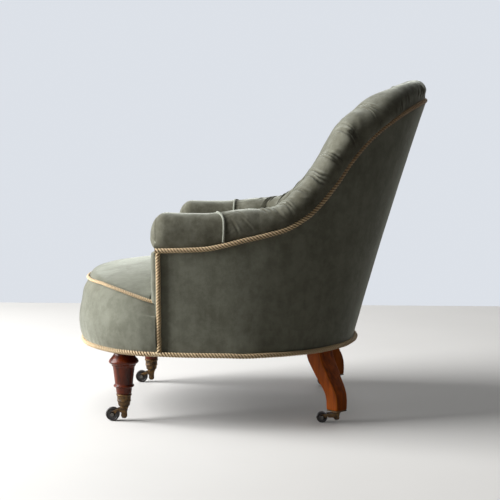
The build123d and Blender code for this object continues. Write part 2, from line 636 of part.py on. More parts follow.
def make_legs_and_casters():
    parts, screws = {}, []
    foot = REAR_LEG_PROFILE[-1][1] / 2 ** 0.5
    front = {"leg_front": front_leg(), "caster_cup_front": caster_cup(),
             "caster_fork_front": caster_fork(32.4, FRONT_WHEEL_RADIUS, FRONT_TRAIL, 9.6),
             "caster_wheel_front": caster_wheel(FRONT_WHEEL_RADIUS, FRONT_TRAIL),
             "caster_axle_front": caster_axle(FRONT_WHEEL_RADIUS, FRONT_TRAIL)}
    rear = {"caster_plate_rear": caster_plate(),
            "caster_fork_rear": caster_fork(24.6, REAR_WHEEL_RADIUS, REAR_TRAIL, 8.6),
            "caster_wheel_rear": caster_wheel(REAR_WHEEL_RADIUS, REAR_TRAIL),
            "caster_axle_rear": caster_axle(REAR_WHEEL_RADIUS, REAR_TRAIL)}
    for name, shape in front.items():
        parts[name + "_left"] = Pos(FRONT_LEG_X, FRONT_LEG_Y, 0) * shape
    parts["leg_rear_left"] = Pos(REAR_LEG_X, REAR_LEG_Y, 0) * rear_leg()
    for name, shape in rear.items():
        parts[name + "_left"] = Pos(REAR_LEG_X + foot, REAR_LEG_Y + foot, 0) * shape
    for name, shape in list(parts.items()):
        parts[name.replace("_left", "_right")] = mirrored(shape)
    for screw in plate_screws():
        placed = Pos(REAR_LEG_X + foot, REAR_LEG_Y + foot, 0) * screw
        screws += [placed, mirrored(placed)]
    parts["caster_screws"] = Compound(children=screws)
    return parts


def main():
    parts = {}
    for make in (make_seat_frame, make_upper_frame, make_linings, make_back_padding, make_arm_padding,
                 make_buttons, make_seat_upholstery, make_springs, make_webbing, make_ropes,
                 make_facings, make_legs_and_casters):
        parts.update(make())
    os.makedirs("parts", exist_ok=True)
    for name, shape in parts.items():
        export_step(shape, f"parts/{name}.step")
    print(len(parts), "nodes")


main()
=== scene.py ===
"""Looks of a velvet tub chair on casters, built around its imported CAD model. Metres, +Z up.

The chair faces -Y and the sitter's left is +X. The camera looks at that side, a little from behind.
"""

import logging
import math
from collections.abc import Callable
from dataclasses import dataclass, field
from enum import Enum
from functools import cache

import bmesh
import bpy
import numpy as np
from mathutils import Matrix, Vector, noise
from mathutils.kdtree import KDTree

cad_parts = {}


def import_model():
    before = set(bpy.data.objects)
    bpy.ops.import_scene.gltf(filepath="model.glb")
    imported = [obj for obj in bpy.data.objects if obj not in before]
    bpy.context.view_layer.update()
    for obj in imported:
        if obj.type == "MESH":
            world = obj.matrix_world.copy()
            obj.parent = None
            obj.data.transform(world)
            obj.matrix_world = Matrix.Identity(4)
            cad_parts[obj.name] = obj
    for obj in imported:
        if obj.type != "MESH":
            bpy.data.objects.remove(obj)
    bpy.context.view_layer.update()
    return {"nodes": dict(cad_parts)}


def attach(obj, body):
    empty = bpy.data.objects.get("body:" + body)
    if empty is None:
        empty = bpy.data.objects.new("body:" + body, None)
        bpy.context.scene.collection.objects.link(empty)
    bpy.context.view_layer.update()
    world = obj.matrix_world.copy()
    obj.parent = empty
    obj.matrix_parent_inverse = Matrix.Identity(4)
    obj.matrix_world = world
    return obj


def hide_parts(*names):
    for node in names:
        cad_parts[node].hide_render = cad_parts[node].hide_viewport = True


LOG = logging.getLogger("tub_chair")

Array = np.ndarray
Points = tuple[tuple[float, float], ...]
Place = tuple[float, float, float]
Colour = tuple[float, float, float]
Layer = tuple[float, float, float]  # size of its lumps, their height and a seed
Material, Piece = bpy.types.Material, bpy.types.Object
Node, Socket, Tree = bpy.types.Node, bpy.types.NodeSocket, bpy.types.NodeTree


# ---------------- curves and meshes

def follow(points: Points, x: Array) -> Array:
    """Smooth curve through given places that never overshoots them.

    Args:
        points: (x, value) pairs in rising x.
        x: where to read the curve.

    Returns:
        The value at each x.
    """
    xs, ys = np.array(points, float).T
    x = np.clip(x, xs[0], xs[-1])
    steps = np.diff(ys) / np.diff(xs)
    product = steps[:-1] * steps[1:]
    total = np.where(product > 0, steps[:-1] + steps[1:], 1.0)
    slopes = np.concatenate([steps[:1], np.where(product > 0, 2 * product / total, 0.0), steps[-1:]])
    i = np.clip(np.searchsorted(xs, x, side="right") - 1, 0, len(steps) - 1)
    span = xs[i + 1] - xs[i]
    t = (x - xs[i]) / span
    return ((1 + 2 * t) * (1 - t) ** 2 * ys[i] + t * (1 - t) ** 2 * span * slopes[i]
            + t * t * (3 - 2 * t) * ys[i + 1] + t * t * (t - 1) * span * slopes[i + 1])


def smoothstep(low: float, high: float, x: Array) -> Array:
    """0 below low, 1 above high and a soft rise between."""
    t = np.clip((x - low) / (high - low), 0.0, 1.0)
    return t * t * (3 - 2 * t)


def bell(x: Array, width: float, centre: float = 0.0) -> Array:
    """1 at the centre, falling off to both sides over about the width."""
    return np.exp(-((x - centre) / width) ** 2)


def rounding(x: Array | float) -> Array:
    """Profile of a rounded edge: a quarter circle from 0 at 0 to 1 at 1."""
    return np.sqrt(1 - (1 - np.clip(x, 0, 1)) ** 2)


def unit(vectors: Array) -> Array:
    """The vectors at length 1."""
    return vectors / np.maximum(np.linalg.norm(vectors, axis=-1, keepdims=True), 1e-12)


def run(path: Array) -> Array:
    """Distance of each place of a path from its start."""
    return np.concatenate([[0], np.cumsum(np.linalg.norm(np.diff(path, axis=0), axis=1))])


def along_path(places: Array, count: int) -> tuple[Array, Array]:
    """Evenly spaced places on smooth paths.

    Args:
        places: key places, shape (paths, keys, size).
        count: how many places each path gets.

    Returns:
        The places, shape (paths, count, size), and their distance along each path.
    """
    before = 2 * places[:, :1] - places[:, 1:2]
    after = 2 * places[:, -1:] - places[:, -2:-1]
    keys = np.concatenate([before, places, after], axis=1)
    t = np.linspace(0, 1, 13)[:-1][None, None, :, None]
    a, b, c, d = (keys[:, k:k + places.shape[1] - 1, None, :] for k in range(4))
    fine = 0.5 * (2 * b + (c - a) * t + (2 * a - 5 * b + 4 * c - d) * t ** 2
                  + (3 * b - a - 3 * c + d) * t ** 3)
    fine = np.concatenate([fine.reshape(len(places), -1, places.shape[2]), places[:, -1:]], axis=1)
    lengths = np.linalg.norm(np.diff(fine, axis=1), axis=2)
    distance = np.concatenate([np.zeros((len(places), 1)), np.cumsum(lengths, axis=1)], axis=1)
    result = np.empty((len(places), count, places.shape[2]))
    read = np.linspace(0, 1, count)[None, :] * distance[:, -1:]
    for k in range(len(places)):
        for axis in range(places.shape[2]):
            result[k, :, axis] = np.interp(read[k], distance[k], fine[k, :, axis])
    return result, read


def cloud(places: Array, size: float, seed: float = 0.0) -> Array:
    """Soft noise from -1 to 1 at places, with lumps of about the given size."""
    flat = places.reshape(-1, 3) / size + seed
    return np.array([noise.noise(Vector(p)) for p in flat]).reshape(places.shape[:-1])


def lumps(places: Array, *layers: Layer) -> Array:
    """Soft unevenness of a cover, the sum of its layers of noise."""
    return sum(height * cloud(places, size, seed) for size, height, seed in layers)


def add_object(name: str, data: bpy.types.ID) -> Piece:
    """Adds an object with the given data to the scene."""
    piece = bpy.data.objects.new(name, data)
    bpy.context.scene.collection.objects.link(piece)
    return piece


def keep_relief(piece: Piece, values: Array | list[float]) -> None:
    """Keeps a number for each place as the attribute "relief", which the finishes turn into painted shade and
    painted highlight.
    """
    layer = piece.data.attributes.new("relief", "FLOAT", "POINT")
    layer.data.foreach_set("value", np.asarray(values, np.float32))


def smooth(mesh: bpy.types.Mesh) -> None:
    """Shades every face of a mesh smooth."""
    mesh.polygons.foreach_set("use_smooth", [True] * len(mesh.polygons))


def mesh_piece(name: str, verts: Array, faces: list, material: Material) -> Piece:
    """Adds a closed mesh to the scene with its faces turned outwards.

    Args:
        name: the piece's name.
        verts: places, shape (count, 3).
        faces: lists of vertex numbers.
        material: its finish.

    Returns:
        The new object.
    """
    mesh = bpy.data.meshes.new(name)
    mesh.from_pydata([tuple(v) for v in verts.reshape(-1, 3)], [], faces)
    work = bmesh.new()
    work.from_mesh(mesh)
    bmesh.ops.recalc_face_normals(work, faces=work.faces)
    work.to_mesh(mesh)
    work.free()
    smooth(mesh)
    mesh.materials.append(material)
    return add_object(name, mesh)


def loop_piece(name: str, loops: Array, material: Material, wrap: bool = False,
               relief: Array | None = None) -> Piece:
    """Closed skin over a row of closed loops.

    Args:
        name: the piece's name.
        loops: places, shape (loops, places in each, 3).
        material: its finish.
        wrap: whether the last loop joins the first, and otherwise both ends are capped.
        relief: one number for each place, kept as the attribute "relief" for the finish.

    Returns:
        The new object.
    """
    rows, cols = loops.shape[:2]
    faces = []
    for i in range(rows if wrap else rows - 1):
        here, there = i * cols, ((i + 1) % rows) * cols
        for j in range(cols):
            nxt = (j + 1) % cols
            faces.append((here + j, here + nxt, there + nxt, there + j))
    verts = loops.reshape(-1, 3)
    values = None if relief is None else relief.reshape(-1)
    if not wrap:
        for end in (0, rows - 1):
            centre = len(verts)
            verts = np.vstack([verts, loops[end].mean(axis=0)])
            faces += [(end * cols + j, end * cols + (j + 1) % cols, centre) for j in range(cols)]
            values = None if values is None else np.append(values, 0.0)
    piece = mesh_piece(name, verts, faces, material)
    if values is not None:
        keep_relief(piece, values)
    return piece


def lathe(name: str, profile: Points, material: Material, centre: Place,
          segments: int = 64) -> Piece:
    """Turned solid about an upright axis.

    Args:
        name: the piece's name.
        profile: (radius, height) places in metres from one end of the axis to the other.
        material: its finish.
        centre: where the axis starts.
        segments: how many sides the turning has.

    Returns:
        The new object.
    """
    r, z = np.array(profile).T
    angle = np.linspace(0, 2 * math.pi, segments, endpoint=False)[None, :]
    x, y = r[:, None] * np.cos(angle), r[:, None] * np.sin(angle)
    height = np.repeat(z[:, None], segments, axis=1)
    loops = np.stack([x, y, height], axis=2) + np.array(centre)
    return loop_piece(name, loops, material)


def tube_piece(name: str, places: Array, radius: float, material: Material,
               sides: int = 12) -> Piece:
    """Round tube through places, closed at both ends.

    Args:
        name: the piece's name.
        places: its middle line.
        radius: its radius.
        material: its finish.
        sides: how many sides it has.

    Returns:
        The new object.
    """
    way = unit(np.gradient(places, axis=0))
    side = np.cross(way, np.array([0.02, 1.0, 0.05]))
    side = unit(np.where(np.linalg.norm(side, axis=1, keepdims=True) > 0.2, side, np.array([1.0, 0, 0])))
    rise = np.cross(way, side)
    angle = np.linspace(0, 2 * math.pi, sides, endpoint=False)[None, :, None]
    loops = places[:, None] + radius * (side[:, None] * np.cos(angle) + rise[:, None] * np.sin(angle))
    return loop_piece(name, loops, material, relief=np.zeros(loops.shape[:2]))


def mirror_in_place(piece: Piece) -> None:
    """Moves a piece to the other side of the chair, with its faces outwards again."""
    work = bmesh.new()
    work.from_mesh(piece.data)
    for vert in work.verts:
        vert.co.x = -vert.co.x
    bmesh.ops.reverse_faces(work, faces=work.faces)
    work.to_mesh(piece.data)
    work.free()


def dress(piece: Piece, body: str, slot: str, *nodes: str) -> Piece:
    """Rides the piece on its body and hides the CAD nodes that it stands for.

    Args:
        piece: the piece.
        body: the body that carries it.
        slot: its material slot; not used.
        nodes: the CAD nodes that it replaces.

    Returns:
        The piece.
    """
    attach(piece, body)
    if nodes:
        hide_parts(*nodes)
    LOG.info("%s rides on %s", piece.name, body)
    return piece


# ---------------- node trees

def maths(kind: str, swapped: bool = False) -> Callable[..., "Num"]:
    """Method of Num that adds one Math node; swapped is for the reflected forms."""
    def method(self: "Num", other: object = 0.0) -> "Num":
        """Adds the node for self and other."""
        a, b = (other, self) if swapped else (self, other)
        return self.nodes.num("ShaderNodeMath", {"operation": kind}, {0: a, 1: b})
    return method


class Num:
    """A number socket whose arithmetic adds Math nodes."""

    def __init__(self, nodes: "Nodes", socket: Socket) -> None:
        """Wraps one output socket."""
        self.nodes, self.socket = nodes, socket

    __add__ = __radd__ = maths("ADD")
    __mul__ = __rmul__ = maths("MULTIPLY")
    __sub__, __rsub__ = maths("SUBTRACT"), maths("SUBTRACT", swapped=True)
    __truediv__, __rtruediv__ = maths("DIVIDE"), maths("DIVIDE", swapped=True)
    sine, cosine, larger = maths("SINE"), maths("COSINE"), maths("MAXIMUM")

    def clip(self, low: float, high: float) -> "Num":
        """0 below low, 1 above high, a straight rise between."""
        return self.nodes.num("ShaderNodeMapRange", {"clamp": True},
                              {0: self, 1: low, 2: high, 3: 0.0, 4: 1.0})


class Nodes:
    """Adds nodes to one tree."""

    def __init__(self, tree: Tree) -> None:
        """Starts on an empty tree."""
        self.tree = tree

    def add(self, kind: str, settings: dict | None = None, inputs: dict | None = None) -> Node:
        """Adds one node.

        Args:
            kind: the node's type.
            settings: its properties, and "stops" for a colour ramp's (place, colour) pairs.
            inputs: values or links by the input's name or number.

        Returns:
            The node.
        """
        node = self.tree.nodes.new(kind)
        for key, value in (settings or {}).items():
            if key == "stops":
                ramp = node.color_ramp
                while len(ramp.elements) < len(value):
                    ramp.elements.new(0.5)
                for element, (place, colour) in zip(ramp.elements, value):
                    element.position, element.color = place, (*colour, 1.0)
            else:
                setattr(node, key, value)
        for key, value in (inputs or {}).items():
            if isinstance(value, Num):
                value = value.socket
            if isinstance(value, Socket):
                self.tree.links.new(value, node.inputs[key])
            else:
                node.inputs[key].default_value = value
        return node

    def num(self, kind: str, settings: dict | None = None, inputs: dict | None = None,
            output: int | str = 0) -> Num:
        """Adds a node and wraps one of its number outputs."""
        return Num(self, self.add(kind, settings, inputs).outputs[output])

    def vector(self, kind: str, inputs: dict) -> Socket:
        """Adds one Vector Math node."""
        return self.add("ShaderNodeVectorMath", {"operation": kind}, inputs).outputs[0]

    def relief(self) -> Num:
        """The number that keep_relief keeps for each place."""
        return self.num("ShaderNodeAttribute", {"attribute_name": "relief"}, {}, "Fac")

    def place(self, stretch: Place = (1, 1, 1)) -> Socket:
        """Object coordinates, stretched by a factor for each axis."""
        coords = self.add("ShaderNodeTexCoord").outputs["Object"]
        return self.add("ShaderNodeMapping", {}, {"Vector": coords, "Scale": stretch}).outputs[0]

    def noise(self, place: Socket, scale: float, detail: float = 3.0,
              rough: float = 0.5) -> Num:
        """Noise of the given scale, 0 to 1."""
        return self.num("ShaderNodeTexNoise", {}, {"Vector": place, "Scale": scale, "Detail": detail,
                                                   "Roughness": rough}, "Fac")

    def directly_seen(self) -> Num:
        """1 for the camera's, mirrored and refracted rays, 0 for the light that fills the room."""
        rays = self.add("ShaderNodeLightPath").outputs
        seen = Num(self, rays["Is Camera Ray"])
        for kind in ("Is Glossy Ray", "Is Transmission Ray"):
            seen = seen.larger(Num(self, rays[kind]))
        return seen

    def mix(self, factor: object, a: object, b: object) -> Socket:
        """Colour between a and b."""
        a, b = ((*c, 1.0) if isinstance(c, tuple) else c for c in (a, b))
        return self.add("ShaderNodeMix", {"data_type": "RGBA"}, {0: factor, 6: a, 7: b}).outputs[2]

    def bump(self, height: object, strength: float, distance: float,
             below: object | None = None) -> Socket:
        """Bump from a height, over another one if given."""
        inputs = {"Height": height, "Strength": strength, "Distance": distance}
        if below is not None:
            inputs["Normal"] = below
        return self.add("ShaderNodeBump", {}, inputs).outputs[0]


def new_finish(name: str) -> tuple[Material, Nodes, Node]:
    """An empty material with its tree and its main shader."""
    material = bpy.data.materials.new(name)
    material.use_nodes = True
    tree = material.node_tree
    return material, Nodes(tree), tree.nodes["Principled BSDF"]


def link(nodes: Nodes, shader: Node, **inputs: object) -> None:
    """Sets or links the shader's inputs; an underscore in a name stands for a space."""
    for key, value in inputs.items():
        socket = shader.inputs[key.replace("_", " ")]
        value = value.socket if isinstance(value, Num) else value
        if isinstance(value, Socket):
            nodes.tree.links.new(value, socket)
        else:
            socket.default_value = (*value, 1.0) if isinstance(value, tuple) else value


# ---------------- finishes

@dataclass(frozen=True)
class Recipe:
    """A finish by name; each kind gives the inputs of its shader."""

    name: str

    def inputs(self, n: Nodes) -> dict[str, object]:
        """Values and links for the shader's inputs, with the nodes behind them."""
        raise NotImplementedError

    def make(self) -> Material:
        """Builds the material."""
        material, nodes, shader = new_finish(self.name)
        link(nodes, shader, **self.inputs(nodes))
        return material


@dataclass(frozen=True)
class Velvet(Recipe):
    """Cotton velvet with brushed and crushed patches, painted shade in its folds and hollows and a painted
    highlight, partly wear, on its ridges, crests and bumps.
    """

    pile: Colour = (0.098, 0.098, 0.072)
    brushed: Colour = (0.178, 0.183, 0.145)
    # fold: colour of the painted shade in folds, creases and hollows, and of darker crushed pile
    fold: Colour = (0.030, 0.029, 0.020)
    # colour of the painted highlight, partly wear, on ridges, crests and bumps, and of paler crushed pile
    wear_and_highlight: Colour = (0.31, 0.315, 0.27)
    sheen: Colour = (0.86, 0.90, 0.82)
    patch_scale: float = 10.0
    pile_scale: float = 900.0
    crush_scale: float = 42.0
    crush: float = 0.22
    rough: float = 0.92

    def inputs(self, n: Nodes) -> dict[str, object]:
        """Values and links for the shader's inputs."""
        place = n.place()
        patches = n.noise(place, self.patch_scale, 5.0, 0.62).clip(0.36, 0.66)
        streaks = n.noise(n.place((70, 70, 9)), 1.0, 3.0, 0.6).clip(0.35, 0.7)
        pile = n.noise(place, self.pile_scale, 2.0, 0.7)
        relief = n.relief()
        colour = n.mix(patches * 0.75 + streaks * 0.25, self.pile, self.brushed)
        # painted shade where the relief attribute is low: folds, creases and hollows
        colour = n.mix((relief * -1.0).clip(0.05, 1.0) * 0.85, colour, self.fold)
        # painted highlight, partly wear, where the relief attribute is high: ridges, puffs and the crest of
        # the roll
        rubbed_and_highlit = relief.clip(0.20, 1.0) * n.noise(place, 45.0, 4.0).clip(0.35, 0.7)
        colour = n.mix(rubbed_and_highlit * 0.65, colour, self.wear_and_highlight)
        colour = n.mix((pile - 0.5) * 0.5 + 0.2, colour, self.brushed)
        crushed = n.noise(place, self.crush_scale, 6.0, 0.7)
        colour = n.mix(crushed.clip(0.45, 0.75) * self.crush, colour, self.wear_and_highlight)
        colour = n.mix(crushed.clip(0.52, 0.25) * self.crush, colour, self.fold)
        normal = n.bump(pile, 0.35, 0.0006)
        normal = n.bump(crushed, 0.30, 0.0025, normal)
        return dict(Base_Color=colour, Roughness=self.rough, Normal=normal, Sheen_Weight=1.0,
                    Sheen_Roughness=0.34, Sheen_Tint=self.sheen, Specular_IOR_Level=0.15)


@dataclass(frozen=True)
class Cord(Recipe):
    """Twisted straw-gold cord with fine yarns, soiled patches, painted shade between its strands and higher
    up the back, and a painted highlight on the strands' crests.
    """

    name: str = "straw_cord"
    straw: Colour = (0.57, 0.37, 0.155)
    shade: Colour = (0.060, 0.024, 0.008)
    # pale: colour of the painted highlight on the crests, and of pale yarns
    pale: Colour = (0.86, 0.70, 0.46)
    # painted shade, browner, where the cord runs high up the back, between these two heights
    high_shade: Colour = (0.20, 0.095, 0.027)
    high_shade_height: tuple[float, float] = (0.43, 0.56)
    yarn_scale: float = 1500.0
    rough: float = 0.62

    def inputs(self, n: Nodes) -> dict[str, object]:
        """Values and links for the shader's inputs."""
        place = n.place()
        soiled = n.noise(place, 14.0, 3.0).clip(0.35, 0.75)
        yarn = n.noise(place, self.yarn_scale, 3.0, 0.65)
        parts = n.add("ShaderNodeSeparateXYZ", {}, {0: place})
        # painted shade on the higher cord
        high_shade = Num(n, parts.outputs[2]).clip(*self.high_shade_height)
        depth = n.relief()
        # painted shade in the gaps between the strands
        colour = n.mix(depth.clip(0.1, 0.7), self.shade, self.straw)
        # painted highlight on the strands' crests
        colour = n.mix(depth.clip(0.6, 1.0) * 0.8, colour, self.pale)
        colour = n.mix(soiled * 0.3, colour, self.shade)
        colour = n.mix(high_shade * 0.65, colour, self.high_shade)
        colour = n.mix((yarn - 0.35) * depth * 0.6, colour, self.pale)
        return dict(Base_Color=colour, Roughness=self.rough, Normal=n.bump(yarn, 0.8, 0.0012),
                    Sheen_Weight=0.25, Specular_IOR_Level=0.3)


@dataclass(frozen=True)
class Timber(Recipe):
    """Wood with grain along Z, darker streaks, a polish and a painted highlight along the edges that the
    relief attribute marks.
    """

    base: Colour
    streak: Colour
    pale_tone_and_highlight: Colour
    rough: float = 0.3
    coat: float = 0.5
    shine: float = 0.35
    grain: Place = (60.0, 60.0, 5.0)

    def inputs(self, n: Nodes) -> dict[str, object]:
        """Values and links for the shader's inputs."""
        fine = n.noise(n.place(self.grain), 1.6, 5.0, 0.62)
        broad = n.noise(n.place((self.grain[0] / 4, self.grain[1] / 4, self.grain[2] / 2)), 1.0, 2.0)
        pores = n.noise(n.place((900, 900, 45)), 1.0, 2.0)
        knocks = n.noise(n.place(), 55.0, 4.0).clip(0.6, 0.78)
        colour = n.mix(fine.clip(0.36, 0.66), self.streak, self.base)
        colour = n.mix(broad.clip(0.45, 0.75) * 0.65, colour, self.pale_tone_and_highlight)
        colour = n.mix(knocks * 0.4, colour, self.streak)
        # painted highlight, partly edge wear, where the relief attribute marks an edge
        wear_and_highlight = n.relief()
        colour = n.mix(wear_and_highlight * 0.75, colour, self.pale_tone_and_highlight)
        rough = n.noise(n.place(), 30.0, 3.0) * 0.22 + (self.rough - 0.08)
        normal = n.bump(pores * 0.6 + fine * 0.4, 0.14, 0.0008)
        return dict(Base_Color=colour, Roughness=rough, Normal=normal, Coat_Weight=self.coat,
                    Coat_Roughness=0.18, Specular_IOR_Level=self.shine)


@dataclass(frozen=True)
class OldMetal(Recipe):
    """Cast metal with patina: bright on rubbed places and brown-black elsewhere."""

    bright: Colour
    patina: Colour
    rough: float = 0.42
    spot_scale: float = 130.0
    pit_scale: float = 700.0

    def inputs(self, n: Nodes) -> dict[str, object]:
        """Values and links for the shader's inputs."""
        place = n.place()
        spots = n.noise(place, self.spot_scale, 5.0, 0.65).clip(0.35, 0.68)
        pits = n.noise(place, self.pit_scale, 3.0)
        colour = n.mix(spots, self.bright, self.patina)
        return dict(Base_Color=colour, Metallic=1.0 - spots * 0.55, Roughness=spots * 0.25 + self.rough,
                    Normal=n.bump(pits, 0.25, 0.0006))


@dataclass(frozen=True)
class Composition(Recipe):
    """Hard dark wheel material, scuffed round its tread."""

    name: str = "wheel_composition"
    base: Colour = (0.016, 0.012, 0.010)
    scuff: Colour = (0.055, 0.042, 0.034)
    scuff_scale: float = 220.0
    rough: float = 0.32

    def inputs(self, n: Nodes) -> dict[str, object]:
        """Values and links for the shader's inputs."""
        scuffs = n.noise(n.place(), self.scuff_scale, 5.0, 0.7).clip(0.5, 0.75)
        return dict(Base_Color=n.mix(scuffs * 0.7, self.base, self.scuff),
                    Roughness=scuffs * 0.3 + self.rough, Normal=n.bump(scuffs, 0.2, 0.0004))


@dataclass(frozen=True)
class Weave(Recipe):
    """Plain woven cloth, crossing threads of a given pitch in metres."""

    thread: Colour
    gap: Colour
    pitch: float = 0.0022
    rough: float = 0.9

    def inputs(self, n: Nodes) -> dict[str, object]:
        """Values and links for the shader's inputs."""
        parts = n.add("ShaderNodeSeparateXYZ", {}, {0: n.place()})
        turn = 2 * math.pi / self.pitch
        x, y, z = (Num(n, parts.outputs[k]) * turn for k in range(3))
        threads = (x + z * 0.5).sine() * (y + z * 0.5).sine() * 0.5 + 0.5
        slubs = n.noise(n.place(), 120.0, 3.0)
        colour = n.mix(threads.clip(0.1, 0.8), self.gap, self.thread)
        return dict(Base_Color=n.mix(slubs * 0.4, colour, self.gap), Roughness=self.rough,
                    Normal=n.bump(threads, 0.5, 0.0006))


class Finish(Enum):
    """The chair's finishes by name."""

    VELVET = Velvet("sage_velvet")
    # darker copy of the same velvet for the roll, arm pads and buttons: painted shade of the roll and arms
    SHADED_ROLL_VELVET = Velvet("sage_velvet_roll_shaded", (0.047, 0.043, 0.027), (0.150, 0.148, 0.112),
                         (0.022, 0.019, 0.013))
    PIPING = Velvet("piping_velvet", (0.23, 0.24, 0.20), (0.33, 0.34, 0.29), (0.1, 0.11, 0.09),
                    (0.55, 0.56, 0.50))
    CORD = Cord()
    MAHOGANY = Timber("polished_mahogany", (0.150, 0.022, 0.004), (0.036, 0.006, 0.002), (0.28, 0.048, 0.007),
                      0.26, 0.14, 0.16)
    REAR_TIMBER = Timber("rear_leg_timber", (0.37, 0.078, 0.007), (0.13, 0.026, 0.003), (0.52, 0.140, 0.016),
                         0.45, 0.02, 0.06)
    BEECH = Timber("frame_beech", (0.50, 0.35, 0.21), (0.36, 0.23, 0.12), (0.60, 0.45, 0.29), 0.6, 0.0)
    BRASS = OldMetal("aged_brass", (0.150, 0.083, 0.031), (0.020, 0.014, 0.009))
    STEEL = OldMetal("dull_steel", (0.16, 0.15, 0.135), (0.05, 0.042, 0.034), 0.4)
    WHEEL = Composition()
    HESSIAN = Weave("hessian", (0.42, 0.31, 0.17), (0.17, 0.11, 0.05))
    STUFFING = Weave("stuffing", (0.55, 0.49, 0.38), (0.32, 0.26, 0.18), 0.004)
    UNDER_CLOTH = Weave("black_cloth", (0.035, 0.033, 0.030), (0.008, 0.008, 0.007), 0.0012)


@cache
def finish(kind: Finish) -> Material:
    """The material of a finish, made once."""
    return kind.value.make()


# ---------------- the tub's shape

@dataclass(frozen=True)
class Slices:
    """Upright slices through the tub's wall, one row in each array for each slice.

    They hold the places on the rope line and at the foot, the upward and inward directions, the turn
    counted from the nearer arm, and the rope line's y.
    """

    rope: Array
    foot: Array
    up: Array
    inward: Array
    lap: Array
    y: Array

    def at(self, inward: Array, above: Array) -> Array:
        """Places in the chair for offsets of shape (slices, places)."""
        return (self.rope[:, None] + self.inward[:, None] * inward[..., None]
                + self.up[:, None] * above[..., None])

    def above_for(self, z: float | Array, inward: float | Array) -> Array:
        """How far above the rope line the places at height z are."""
        return (z - self.rope[:, 2] - self.inward[:, 2] * inward) / self.up[:, 2]


@dataclass
class Tub:
    """Outer shell of the tub, with places given as (turn, inward, above the rope line).

    A turn is an angle round the back, 0 and 180 where the straight arms begin. Along the
    straight arms one degree is ten millimetres.
    """

    half_top: float = 0.300
    half_foot: float = 0.295
    reach_top: float = 0.4195
    reach_foot: float = 0.260
    bend_y: float = -0.030
    front_y: float = -0.188
    taper_top: float = 0.010
    taper_foot: float = 0.014
    skirt: float = 0.160
    per_degree: float = 0.010
    arm_end: float = -15.75
    rope_line: Points = ((-.190, .3755), (-.090, .380), (0, .399), (.080, .419), (.130, .447), (.180, .501),
                         (.225, .565), (.270, .614), (.330, .657), (.388, .689))

    def slices(self, turns: Array) -> Slices:
        """Slices through the wall at turns.

        Args:
            turns: turns in degrees.

        Returns:
            The slices.
        """
        side = np.where(turns <= 90, 1.0, -1.0)
        lap = np.where(turns <= 90, turns, 180 - turns)
        angle = np.radians(np.maximum(lap, 0))
        c, s = np.cos(angle), np.sin(angle)
        straight = np.minimum(lap, 0) * self.per_degree
        forward = (straight / (self.front_y - self.bend_y)) ** 2
        y_top = self.bend_y + self.reach_top * s + straight
        y_foot = self.bend_y + self.reach_foot * s + straight
        rope = np.stack([side * (self.half_top * c - self.taper_top * forward), y_top,
                         follow(self.rope_line, y_top)], axis=1)
        foot = np.stack([side * (self.half_foot * c - self.taper_foot * forward), y_foot,
                         np.full_like(y_foot, self.skirt)], axis=1)
        up = unit(rope - foot)
        inward = unit(np.stack([-side * c / self.half_top, -s / self.reach_top, 0 * c], axis=1))
        inward = unit(inward - up * np.sum(inward * up, axis=1, keepdims=True))
        return Slices(rope, foot, up, inward, lap, y_top)


@dataclass(frozen=True)
class RollPoint:
    """A place on the roll's outline, in shares of the padding's measures in that slice."""

    across: float
    height: float
    set_in: float = 0.0
    bulge: float = 0.0
    drop: float = 0.0


